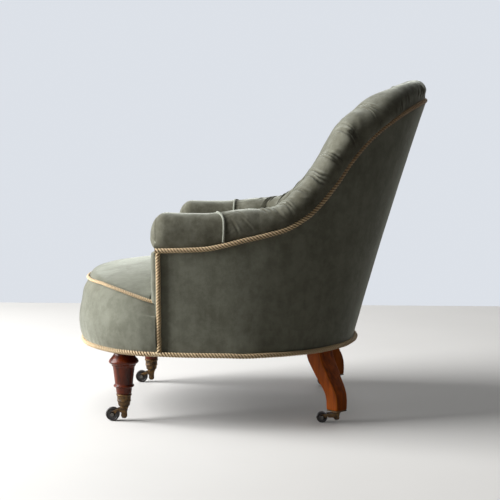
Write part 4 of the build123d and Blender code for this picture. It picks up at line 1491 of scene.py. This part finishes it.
@dataclass
class RopeTrim:
    """Twisted cord along the rope line, the skirt, the seat's edge and the arm fronts."""

    tub: Tub
    seat: "Seat"
    radius: float = 0.0054
    strands: int = 3
    lead: float = 0.0200
    outset: float = 0.0046
    lay_share: float = 0.57
    strand_share: float = 0.44
    wobble: float = 0.0008
    seat_scale: float = 0.72
    arm_scale: float = 0.95
    skirt_z: float = 0.1575
    sunk_sides: float = 0.0052
    sunk_back: float = 0.0022
    lift: float = 0.0014
    drop: float = 0.0008
    top_end: float = -15.6
    arm_turn: float = -15.0
    arm_span: tuple[float, float] = (0.163, 0.372)

    def build(self) -> None:
        """Makes the five cords."""
        tree = cord_tree()
        slices = self.tub.slices(np.linspace(self.top_end, 180 - self.top_end, 260))
        y = slices.y
        outset = self.outset - self.sunk_sides * smoothstep(-0.02, 0.20, y)
        outset -= self.sunk_back * smoothstep(0.25, 0.385, y)
        lift = self.lift * smoothstep(0.0, 0.20, y) - self.drop
        top = slices.at(-outset[:, None], lift[:, None])[:, 0]
        self.lay("rope_top", top, tree, "top_rope")
        self.lay("rope_skirt", self.skirt_path(), tree, "bottom_rope", closed=True)
        self.lay("rope_seat", self.seat.trim_path(), tree, "seat_rope", scale=self.seat_scale)
        front = self.tub.slices(np.array([self.arm_turn]))
        heights = np.linspace(*self.arm_span, 40)
        above = front.above_for(heights, 0.0)
        upright = front.at(np.full((1, len(above)), -self.outset), above[None])[0]
        for name, sign in (("left", 1), ("right", -1)):
            self.lay("rope_arm_" + name, upright * np.array([sign, 1, 1]), tree, "arm_rope_" + name,
                     scale=self.arm_scale)

    def skirt_path(self) -> Array:
        """Loop round the bottom edge of the tub and the seat's front."""
        angles = np.linspace(9, 171, 90)
        front = self.seat.curve(angles, -0.0046 + 0.0036 * np.sin(np.radians(angles)), self.skirt_z)
        slices = self.tub.slices(np.linspace(194.8, -14.8, 170))
        rear = slices.foot - slices.inward * self.outset
        rear[:, 2] = self.skirt_z
        return np.vstack([front, rear])

    def lay(self, name: str, path: Array, tree: Tree, node: str, closed: bool = False,
            scale: float = 1.0) -> None:
        """Lays one cord along a path.

        Args:
            name: the piece's name.
            path: its middle line.
            tree: the cord's node tree.
            node: the CAD node that it stands for.
            closed: whether its end meets its start.
            scale: its thickness as a share of the main cord's.
        """
        edges = [(k, k + 1) for k in range(len(path) - 1)] + ([(len(path) - 1, 0)] if closed else [])
        path = path + self.wobble * np.stack([cloud(path, 0.045, k) for k in (1.0, 4.0, 7.0)], axis=1)
        length = run(path)[-1]
        lead = length / round(length / (self.lead * scale))
        radius = self.radius * scale
        piece = baked(name, path, edges, tree, {
            "Strands": self.strands, "Lay radius": self.lay_share * radius,
            "Strand radius": self.strand_share * radius, "Lead": lead, "Material": finish(Finish.CORD)})
        keep_depth(piece, path, radius)
        dress(piece, "chair", "rope", node)


def keep_depth(piece: Piece, path: Array, radius: float) -> None:
    """Keeps as relief how far out on its strands each place of a cord is, from 0 to 1.

    Args:
        piece: the cord.
        path: its middle line.
        radius: its radius.
    """
    fine = np.concatenate([path[:-1] + (path[1:] - path[:-1]) * t for t in (0, 0.25, 0.5, 0.75)])
    tree = KDTree(len(fine))
    for k, place in enumerate(fine):
        tree.insert(place, k)
    tree.balance()
    values = [max(0.0, min(1.0, (tree.find(v.co)[2] / radius - 0.78) / 0.22)) for v in piece.data.vertices]
    keep_relief(piece, values)


# ---------------- seat

@dataclass
class Seat:
    """Domed seat and its bulged front band.

    Places of the band's outline are its inset, its height (in the upper part from the band's top) and its
    share of what the seat's edge is drawn in.
    """

    tub: Tub
    padding: Padding
    # front curve in plan
    centre_y: float = -0.160
    half_width: float = 0.285
    reach: float = 0.2265
    drawn_in: float = 0.0070
    # band round the front
    band_low: tuple[Place, ...] = ((0.0, .157, 0.0), (-.0056, .172, 0.0), (-.009, .195, 0.0),
                                   (-.0092, .215, 0.0), (-.0070, .236, 0.2))
    band_high: tuple[Place, ...] = ((-.0035, -.026, 0.5), (.002, -.010, 0.85), (.008, 0.0, 1.0))
    border_top: Points = ((8, .263), (18, .273), (30, .2835), (48, .293), (90, .293))
    band_lumps: tuple[Layer, ...] = ((0.07, 0.0018, 6.0), (0.022, 0.0004, 1.0))
    band_cloth: float = 0.011
    band_places: tuple[int, int] = (260, 70)
    ripple: float = 0.0006
    trim_inset: float = 0.0050
    trim_lift: float = 0.0030
    # crowned top
    crown: Points = ((-.400, .292), (-.379, .300), (-.359, .313), (-.335, .321), (-.303, .328), (-.268, .333),
                     (-.233, .337), (-.100, .343), (0, .341), (.100, .333), (.200, .325))
    crown_half: float = 0.290
    side_z: float = 0.263
    edge_drop: float = 0.0050
    edge_round: float = 0.013
    pole_y: float = -0.235
    seat_lumps: tuple[Layer, ...] = ((0.11, 0.0022, 4.0), (0.035, 0.0006, 8.0))
    seat_places: tuple[int, int] = (420, 90)
    skirt_drop: float = 0.012
    below_z: float = 0.248
    deepest: float = 0.006
    # black cloth below
    under_z: float = 0.1585
    under_sag: float = 0.0022
    under_cloth: float = 0.0009

    def curve(self, angles: Array, inset: Array | float, z: Array | float) -> Array:
        """Places on the front plan curve, drawn in by inset."""
        a = np.radians(angles)
        x, y = (self.half_width - inset) * np.cos(a), self.centre_y - (self.reach - inset) * np.sin(a)
        return np.stack([x, y, z + 0 * a], axis=-1)

    def top_at(self, angles: Array) -> Array:
        """Height of the band's top at angles round the front."""
        return follow(self.border_top, np.minimum(angles, 180 - angles))

    def trim_path(self) -> Array:
        """Middle line of the cord along the seat's front edge."""
        angles = np.linspace(8.7, 171.3, 150)
        inset = self.trim_inset + self.draw_in(angles)
        return self.curve(angles, inset, self.top_at(angles) + self.trim_lift)

    def draw_in(self, angles: Array) -> Array:
        """How far the seat's edge is drawn in round the front."""
        return self.drawn_in * np.sin(np.radians(angles)) ** 2

    def build(self) -> None:
        """Makes the seat top, the band and the cloth below."""
        self.make_top()
        self.make_border()
        self.make_under_cloth()

    def outline(self, count: int) -> Array:
        """Plan of the seat top as (x, y), full width ahead of the arms and narrower between them.

        Args:
            count: how many places it has.

        Returns:
            The places, shape (count, 2).
        """
        angles = np.linspace(10.5, 169.5, 200)
        front = self.curve(angles, 0.0085 + self.draw_in(angles), 0.0)[:, :2]
        turns = np.linspace(192.6, -12.6, 260)
        slices = self.tub.slices(turns)
        inward = follow(self.padding.foot_thickness, slices.y) + 0.002
        above = slices.above_for(0.30, inward)
        rear = slices.at(inward[:, None], above[:, None])[:, 0, :2]
        shoulder = [(rear[0, 0], front[-1, 1]), (rear[-1, 0], front[0, 1])]
        points = np.vstack([front, shoulder[:1], rear, shoulder[1:]])
        closed = np.vstack([points, points[:1]])
        length = run(closed)
        read = np.linspace(0, length[-1], count, endpoint=False)
        return np.stack([np.interp(read, length, closed[:, k]) for k in (0, 1)], axis=1)

    def make_top(self) -> None:
        """Seat top: crowned, plump at its edge, with soft hollows from use."""
        edge = self.outline(self.seat_places[0])
        pole = np.array([0.0, self.pole_y])
        shares = 1 - (1 - np.linspace(0.0, 1.0, self.seat_places[1])) ** 1.6
        loops, shade = [], []
        for share in shares[1:]:
            plan = pole + (edge - pole) * share
            distance = np.linalg.norm(edge - plan, axis=1)
            z = self.height(plan)
            z -= self.edge_drop * (1 - np.clip(distance / self.edge_round, 0, 1)) ** 2
            place = np.column_stack([plan, z])
            soft = lumps(place, *self.seat_lumps)
            place[:, 2] += soft * np.clip(distance / 0.03, 0, 1)
            loops.append(place)
            # painted highlight on the lumps and painted shade in the hollows
            shade.append(soft / self.deepest)
        loops = np.array(loops)
        skirt = loops[-1].copy()
        skirt[:, 2] = np.minimum(skirt[:, 2] - self.skirt_drop, self.padding.tuck)
        below = skirt.copy()
        below[:, :2] = pole + (skirt[:, :2] - pole) * 0.9
        below[:, 2] = self.below_z
        loops = np.concatenate([loops, [skirt, below]])
        shade = np.array(shade + [np.zeros(len(edge))] * 2)
        piece = loop_piece("seat_top_pad", loops, finish(Finish.VELVET), relief=shade)
        dress(piece, "chair", "velvet", "seat_cover", "seat_stuffing")

    def height(self, plan: Array) -> Array:
        """Height of the crowned seat over plan places."""
        x, y = plan.T
        middle = follow(self.crown, y)
        return middle - (middle - self.side_z) * (x / self.crown_half) ** 2

    def make_border(self) -> None:
        """Bulged band round the seat's front, slightly gathered at its lower edge."""
        angles = np.linspace(6.2, 173.8, self.band_places[0])
        top = self.top_at(angles)
        drawn = self.draw_in(angles)
        rows = [(*row, 0 * top) for row in self.band_low] + [(*row, top) for row in self.band_high]
        keys = np.stack([np.column_stack([inset + share * drawn, height + base])
                         for inset, height, share, base in rows], axis=1)
        outline, distance = along_path(keys, self.band_places[1])
        inset, height = outline[..., 0], outline[..., 1]
        ripple = np.sin(np.radians(angles) * 74 + np.sin(np.radians(angles) * 9) * 2)[:, None]
        ripple = ripple * self.ripple * np.exp(-distance / 0.014)
        plain = self.curve(angles[:, None], inset, height)
        soft = lumps(plain, *self.band_lumps) + ripple
        soft *= smoothstep(0, 0.012, distance) * smoothstep(0, 0.012, distance[:, -1:] - distance)
        outer = self.curve(angles[:, None], inset - soft, height)
        inner = self.curve(angles[:, None], inset + self.band_cloth, height)
        loops = np.concatenate([outer, inner[:, ::-1]], axis=1)
        # painted highlight on the band's bulges and painted shade in its dips
        shade = np.concatenate([soft / self.deepest, 0 * soft], axis=1)
        piece = loop_piece("seat_front_band", loops, finish(Finish.VELVET), relief=shade)
        dress(piece, "chair", "velvet", "seat_border_cover", "seat_border_padding")

    def make_under_cloth(self) -> None:
        """Black cloth under the seat, stretched with a slight sag."""
        angles = np.linspace(8.5, 171.5, 100)
        front = self.curve(angles, 0.014, self.under_z)
        slices = self.tub.slices(np.linspace(195, -15, 160))
        rear = slices.foot + slices.inward * 0.010
        rear[:, 2] = self.under_z
        edge = np.vstack([front, rear])
        share = np.linspace(1, 0.02, 16)[:, None, None]
        middle = np.array([0, -0.08, self.under_z])
        lower = middle + (edge - middle) * share
        lower[..., 2] -= self.under_sag * (1 - share[..., 0] ** 2)
        upper = lower[::-1] + np.array([0, 0, self.under_cloth])
        piece = loop_piece("under_cloth", np.concatenate([upper, lower]), finish(Finish.UNDER_CLOTH))
        dress(piece, "chair", "bottom_cloth", "bottom_cloth")


# ---------------- legs and casters

@dataclass
class FrontLeg:
    """Turned mahogany leg with its brass cup, standing on a caster."""

    x: float = 0.216
    y: float = -0.266
    profile: Points = ((0, .1625), (.0250, .1625), (.0254, .1600), (.0254, .1545), (.0246, .1525),
                       (.0222, .1512), (.0209, .1492), (.0209, .1470), (.0219, .1445), (.0238, .1418),
                       (.0264, .1388), (.0291, .1356), (.0313, .1324), (.0322, .1302), (.0319, .1283),
                       (.0300, .1264), (.0272, .1248), (.0262, .1240), (.0261, .1222), (.0255, .1206),
                       (.0242, .1196), (.0236, .1180), (.0232, .1150), (.0221, .1060), (.0208, .0950),
                       (.0196, .0850), (.0192, .0812), (.0197, .0800), (.0213, .0792), (.0222, .0780),
                       (.0224, .0768), (.0219, .0756), (.0206, .0748), (.0184, .0742), (.0174, .0730),
                       (.0171, .0710), (.0166, .0650), (.0158, .0598), (.0138, .0592), (.0132, .0560),
                       (.0108, .0375), (0, .0370))
    cup: Points = ((.0139, .0588), (.0150, .0596), (.0163, .0588), (.0166, .0574), (.0163, .0558),
                   (.0153, .0549), (.0149, .0540), (.0146, .0500), (.0143, .0465), (.0149, .0456),
                   (.0150, .0444), (.0146, .0434), (.0138, .0428), (.0131, .0390), (.0124, .0350),
                   (.0118, .0334), (.0106, .0330), (0, .0330), (0, .0352), (.0104, .0356))

    def build(self, name: str, sign: int) -> None:
        """Makes the leg and its cup on one side.

        Args:
            name: the side.
            sign: 1 on the left and -1 on the right.
        """
        centre = (sign * self.x, self.y, 0.0)
        leg = lathe("turned_leg_" + name, self.profile, finish(Finish.MAHOGANY), centre, segments=72)
        dress(leg, "chair", "mahogany", "leg_front_" + name)
        cup = lathe("caster_cup_" + name, self.cup, finish(Finish.BRASS), centre)
        dress(cup, "chair", "aged_brass", "caster_cup_front_" + name)


@dataclass
class RearLeg:
    """Curved leg sawn from the plank, set cornerwise, with eased edges."""

    x: float = 0.168
    y: float = 0.152
    shift: Points = ((.028, .0550), (.043, .0550), (.058, .0530), (.075, .0450), (.090, .0340), (.111, .0200),
                     (.132, .0070), (.146, .0020), (.1628, -.0015))
    side: Points = ((.028, .0320), (.043, .0325), (.058, .0335), (.075, .0360), (.090, .0385), (.111, .0410),
                    (.132, .0425), (.146, .0420), (.1628, .0410))
    easing: float = 0.0026
    span: tuple[float, float] = (0.032, 0.1626)
    worn_foot: tuple[Place, Place] = ((0.0283, 0.0290, 0.0300), (0.90, 0.965, 0.99))

    def foot(self) -> tuple[float, float]:
        """Where the left leg's foot stands, which is where its caster turns."""
        reach = self.shift[0][1] / math.sqrt(2)
        return self.x + reach, self.y + reach

    def build(self, name: str, sign: int) -> None:
        """Makes the leg on one side.

        Args:
            name: the side.
            sign: 1 on the left and -1 on the right.
        """
        heights = np.concatenate([self.worn_foot[0], np.linspace(*self.span, 60)])
        shrink = np.concatenate([self.worn_foot[1], np.ones(60)])
        half = follow(self.side, heights) / 2 * shrink
        quarter = np.repeat(np.arange(4) * math.pi / 2, 5)[None, :]
        angle = np.tile(np.linspace(0, math.pi / 2, 5), 4)[None, :] + quarter
        corner = (half[:, None] - self.easing) * math.sqrt(2)
        along = corner * np.cos(quarter + math.pi / 4) + self.easing * np.cos(angle)
        across = corner * np.sin(quarter + math.pi / 4) + self.easing * np.sin(angle)
        along += follow(self.shift, heights)[:, None]
        x, y = (along - across) / math.sqrt(2), (along + across) / math.sqrt(2)
        loops = np.stack([sign * (self.x + x), self.y + y, np.repeat(heights[:, None], 20, axis=1)], axis=2)
        # painted highlight along the four arrises, read by the timber's relief
        arris_highlight = np.tile([0.0, 0.4, 1.0, 0.4, 0.0] * 4, (len(loops), 1))
        piece = loop_piece("curved_leg_" + name, loops, finish(Finish.REAR_TIMBER), relief=arris_highlight)
        dress(piece, "chair", "rear_leg_timber", "leg_rear_" + name)


def join(body: bmesh.types.BMesh, here: list, there: list) -> None:
    """Closes the band between two loops of vertices with four-sided faces."""
    count = len(here)
    for k in range(count):
        body.faces.new((here[k], here[(k + 1) % count], there[(k + 1) % count], there[k]))


@dataclass
class Caster:
    """Swivelling horn and wheel."""

    place: str
    x: float
    y: float
    top: float
    wheel_radius: float
    trail: float
    hub_radius: float
    half_wheel: float = 0.006
    cheek_inner: float = 0.0070
    cheek_outer: float = 0.0092
    axle_radius: float = 0.0025
    boss_radius: float = 0.0058
    clearance: float = 0.0012
    play: float = 0.00005
    easing: float = 0.0006
    segments: int = 40
    cheek_width: float = 0.0050
    cheek_waist: float = 0.0022

    def build(self) -> None:
        """Makes horn and wheel."""
        self.make_wheel()
        self.make_horn()

    def make_wheel(self) -> None:
        """Wheel with a crowned tread, dished sides and a raised hub."""
        r, w = self.wheel_radius, self.half_wheel
        bore = self.axle_radius + self.play
        half = ((bore, w + 0.0005), (0.0042, w + 0.0005), (0.0047, w), (0.0049, w - 0.0012),
                (0.0056, w - 0.0016), (r - 0.0042, w - 0.0016), (r - 0.0034, w - 0.0009), (r - 0.0028, w),
                (r - 0.0012, w - 0.0003), (r - 0.0003, w - 0.0016), (r, w - 0.0040), (r, 0.0))
        radius, side = np.array(half + tuple((a, -b) for a, b in reversed(half[:-1]))).T
        angle = np.linspace(0, 2 * math.pi, 72, endpoint=False)[:, None]
        loops = np.stack([side + 0 * angle, radius * np.cos(angle), radius * np.sin(angle)], axis=2)
        loops += np.array([self.x, self.y - self.trail, r])
        piece = loop_piece("wheel_" + self.place, loops, finish(Finish.WHEEL), wrap=True)
        dress(piece, "wheel_" + self.place, "wheel", "caster_wheel_" + self.place)

    def make_horn(self) -> None:
        """Horn: turned hub, cut off ahead of the wheel, and two curved cheeks, joined and softened."""
        top, r, trail, hub = self.top, self.wheel_radius, self.trail, self.hub_radius
        body = bmesh.new()
        front = -trail + r + self.clearance
        profile = ((0, top), (hub - 0.0008, top), (hub, top - 0.0008), (hub, top - 0.0030),
                   (hub - 0.0012, top - 0.0040), (hub - 0.0022, top - 0.008), (hub - 0.0030, top - 0.012),
                   (0.0066, 0.0105), (0.0052, 0.0072), (0.0036, 0.0062), (0, 0.0060))
        rings = []
        for radius, z in profile:
            cut = front if z < top - 0.0035 else -radius
            angles = [2 * math.pi * k / self.segments for k in range(self.segments)]
            places = [(radius * math.cos(a), max(radius * math.sin(a), cut)) for a in angles]
            rings.append([body.verts.new((self.x + x, self.y + y, z)) for x, y in places])
        for here, there in zip(rings, rings[1:]):
            join(body, here, there)
        self.cheeks(body, front)
        bmesh.ops.remove_doubles(body, verts=body.verts, dist=0.00001)
        bmesh.ops.recalc_face_normals(body, faces=body.faces)
        mesh = bpy.data.meshes.new("horn_" + self.place)
        body.to_mesh(mesh)
        body.free()
        mesh.materials.append(finish(Finish.BRASS))
        piece = add_object("horn_" + self.place, mesh)
        bevel = piece.modifiers.new("ease", "BEVEL")
        bevel.width, bevel.segments = self.easing, 2
        bevel.limit_method, bevel.angle_limit = "ANGLE", math.radians(40)
        smooth(mesh)
        dress(piece, "fork_" + self.place, "aged_brass", "caster_fork_" + self.place)

    def cheeks(self, body: bmesh.types.BMesh, front: float) -> None:
        """Two curved plates from the hub to the axle, with bosses over the axle.

        Args:
            body: the horn's mesh so far.
            front: y where the hub is cut off.
        """
        top, r, trail = self.top, self.wheel_radius, self.trail
        start, end = np.array([-0.0010, top - 0.0078]), np.array([-trail, r])
        crown = np.array([-0.64 * trail, top - 0.0042])
        t = np.linspace(0, 1, 14)[:, None]
        middle = (1 - t) ** 2 * start + 2 * t * (1 - t) * crown + t * t * end
        way = unit(np.gradient(middle, axis=0))
        side = np.stack([-way[:, 1], way[:, 0]], axis=1)
        half = self.cheek_width - self.cheek_waist * np.sin(math.pi * t ** 0.8)
        last = math.atan2(side[-1, 1], side[-1, 0])
        boss = [end + self.boss_radius * np.array([math.cos(last + a), math.sin(last + a)])
                for a in np.linspace(0.45, math.pi - 0.45, 10)]
        outline = list(middle + side * half) + boss + list((middle - side * half)[::-1])
        for sign in (1, -1):
            near, far = sign * self.cheek_inner, sign * self.cheek_outer
            loops = [[body.verts.new((self.x + x, self.y + y, z)) for y, z in outline] for x in (near, far)]
            join(body, *loops)
            for loop in loops:
                body.faces.new(loop)
        block = [(x, y, z) for x in (-self.cheek_outer + 0.0003, self.cheek_outer - 0.0003)
                 for y in (front, 0.0035) for z in (top - 0.0125, top - 0.0045)]
        corners = [body.verts.new((self.x + x, self.y + y, z)) for x, y, z in block]
        for face in ((0, 1, 3, 2), (4, 6, 7, 5), (0, 4, 5, 1), (2, 3, 7, 6), (0, 2, 6, 4), (1, 5, 7, 3)):
            body.faces.new([corners[k] for k in face])


# ---------------- carried-over nodes, stage and camera

CARRIED = {
    Finish.BEECH: ("seat_front_rail", "seat_side_rail_left", "seat_side_rail_right", "seat_back_rail",
                   "corner_blocks", "arm_post_left", "arm_post_right", "arm_rail_left", "arm_rail_right",
                   "crest_rail", "back_posts"),
    Finish.HESSIAN: ("seat_webbing", "seat_hessian", "back_hessian"),
    Finish.STEEL: ("seat_springs", "caster_screws", "caster_axle_front_left", "caster_axle_front_right",
                   "caster_axle_rear_left", "caster_axle_rear_right"),
    Finish.BRASS: ("caster_plate_rear_left", "caster_plate_rear_right"),
}


def dress_carried(frame: dict) -> None:
    """Gives the CAD nodes that stay in view their finishes."""
    for kind, names in CARRIED.items():
        for name in names:
            mesh = frame["nodes"][name].data
            mesh.materials.clear()
            mesh.materials.append(finish(kind))


@dataclass(frozen=True)
class Lamp:
    """Rectangular lamp aimed at the chair."""

    name: str
    place: Place
    size: tuple[float, float]
    power: float
    aim: Place = (0.0, 0.0, 0.4)


@dataclass
class Studio:
    """Pale floor, soft light and the camera of the photograph."""

    place: Place = (2.871, 0.162, 0.608)
    azimuth: float = 3.37
    pitch: float = 5.095
    lens: float = 90.76
    floor_reach: float = 1.7
    pale_floor: tuple[Colour, Colour] = ((0.70, 0.69, 0.67), (0.75, 0.74, 0.72))
    floor_bounce: Colour = (0.34, 0.32, 0.29)
    room: Colour = (1.0, 0.95, 0.86)
    room_light: float = 0.064
    backdrop: Colour = (0.72, 0.755, 0.81)
    lamps: tuple[Lamp, ...] = (
        Lamp("window", (0.35, -2.9, 1.42), (2.2, 2.7), 262.0),
        Lamp("camera_side", (3.0, 1.2, 1.8), (2.0, 2.0), 2.0),
        Lamp("above", (0.1, -0.9, 2.3), (1.2, 1.2), 12.0, (0.0, 0.1, 0.4)),
        Lamp("far_side", (-2.8, 0.4, 2.0), (2.0, 2.0), 16.0),
        Lamp("behind", (-2.3, 2.2, 1.5), (1.6, 1.6), 7.0))

    def build(self) -> None:
        """Makes floor, backdrop light, lamps and camera."""
        self.make_camera()
        self.make_floor()
        self.make_lights()
        bpy.context.scene.view_settings.view_transform = "Standard"

    def make_camera(self) -> None:
        """Camera at the photograph's place and lens."""
        data = bpy.data.cameras.new("camera")
        data.sensor_width, data.lens = 36.0, self.lens
        camera = add_object("camera", data)
        camera.location = self.place
        camera.rotation_euler = (math.radians(90 - self.pitch), 0, math.radians(90 + self.azimuth))
        bpy.context.scene.camera = camera

    def make_floor(self) -> None:
        """Floor that looks pale but throws less light up at the chair."""
        material, n, shader = new_finish("pale_floor")
        mottle = n.noise(n.place(), 3.0, 3.0)
        pale = n.mix(mottle, *self.pale_floor)
        link(n, shader, Base_Color=n.mix(n.directly_seen(), self.floor_bounce, pale), Roughness=0.75)
        mesh, e = bpy.data.meshes.new("floor"), self.floor_reach
        mesh.from_pydata([(-e, -e, 0), (e, -e, 0), (e, e, 0), (-e, e, 0)], [], [(0, 1, 2, 3)])
        mesh.materials.append(material)
        add_object("floor", mesh)

    def make_lights(self) -> None:
        """Window light from the chair's front, weak fills and a pale backdrop seen only directly."""
        world = bpy.data.worlds.new("studio")
        bpy.context.scene.world = world
        world.use_nodes = True
        n = Nodes(world.node_tree)
        world.node_tree.nodes.clear()
        seen = n.directly_seen()
        room = n.add("ShaderNodeBackground", {}, {"Color": (*self.room, 1.0), "Strength": self.room_light})
        backdrop = n.add("ShaderNodeBackground", {}, {"Color": (*self.backdrop, 1.0), "Strength": 1.0})
        both = n.add("ShaderNodeMixShader", {}, {0: seen, 1: room.outputs[0], 2: backdrop.outputs[0]})
        n.add("ShaderNodeOutputWorld", {}, {0: both.outputs[0]})
        for lamp in self.lamps:
            data = bpy.data.lights.new(lamp.name, "AREA")
            data.shape, data.energy = "RECTANGLE", lamp.power
            data.size, data.size_y = lamp.size
            light = add_object(lamp.name, data)
            light.location = lamp.place
            way = Vector(lamp.aim) - Vector(lamp.place)
            light.rotation_euler = way.to_track_quat("-Z", "Y").to_euler()


def main() -> None:
    """Builds the chair's looks in order."""
    logging.basicConfig(level=logging.INFO, format="%(name)s: %(message)s")
    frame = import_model()
    Studio().build()
    tub = Tub()
    padding = Padding()
    seat = Seat(tub, padding)
    seat.build()
    TubUpholstery(tub, padding, Tufting()).build()
    RopeTrim(tub, seat).build()
    front, rear = FrontLeg(), RearLeg()
    x, y = rear.foot()
    for name, sign in (("left", 1), ("right", -1)):
        front.build(name, sign)
        rear.build(name, sign)
        Caster("front_" + name, sign * front.x, front.y, top=0.0324, wheel_radius=0.015, trail=0.0245,
               hub_radius=0.0096).build()
        Caster("rear_" + name, sign * x, y, top=0.0246, wheel_radius=0.012, trail=0.0315,
               hub_radius=0.0086).build()
    dress_carried(frame)


if __name__ == "__main__":
    main()
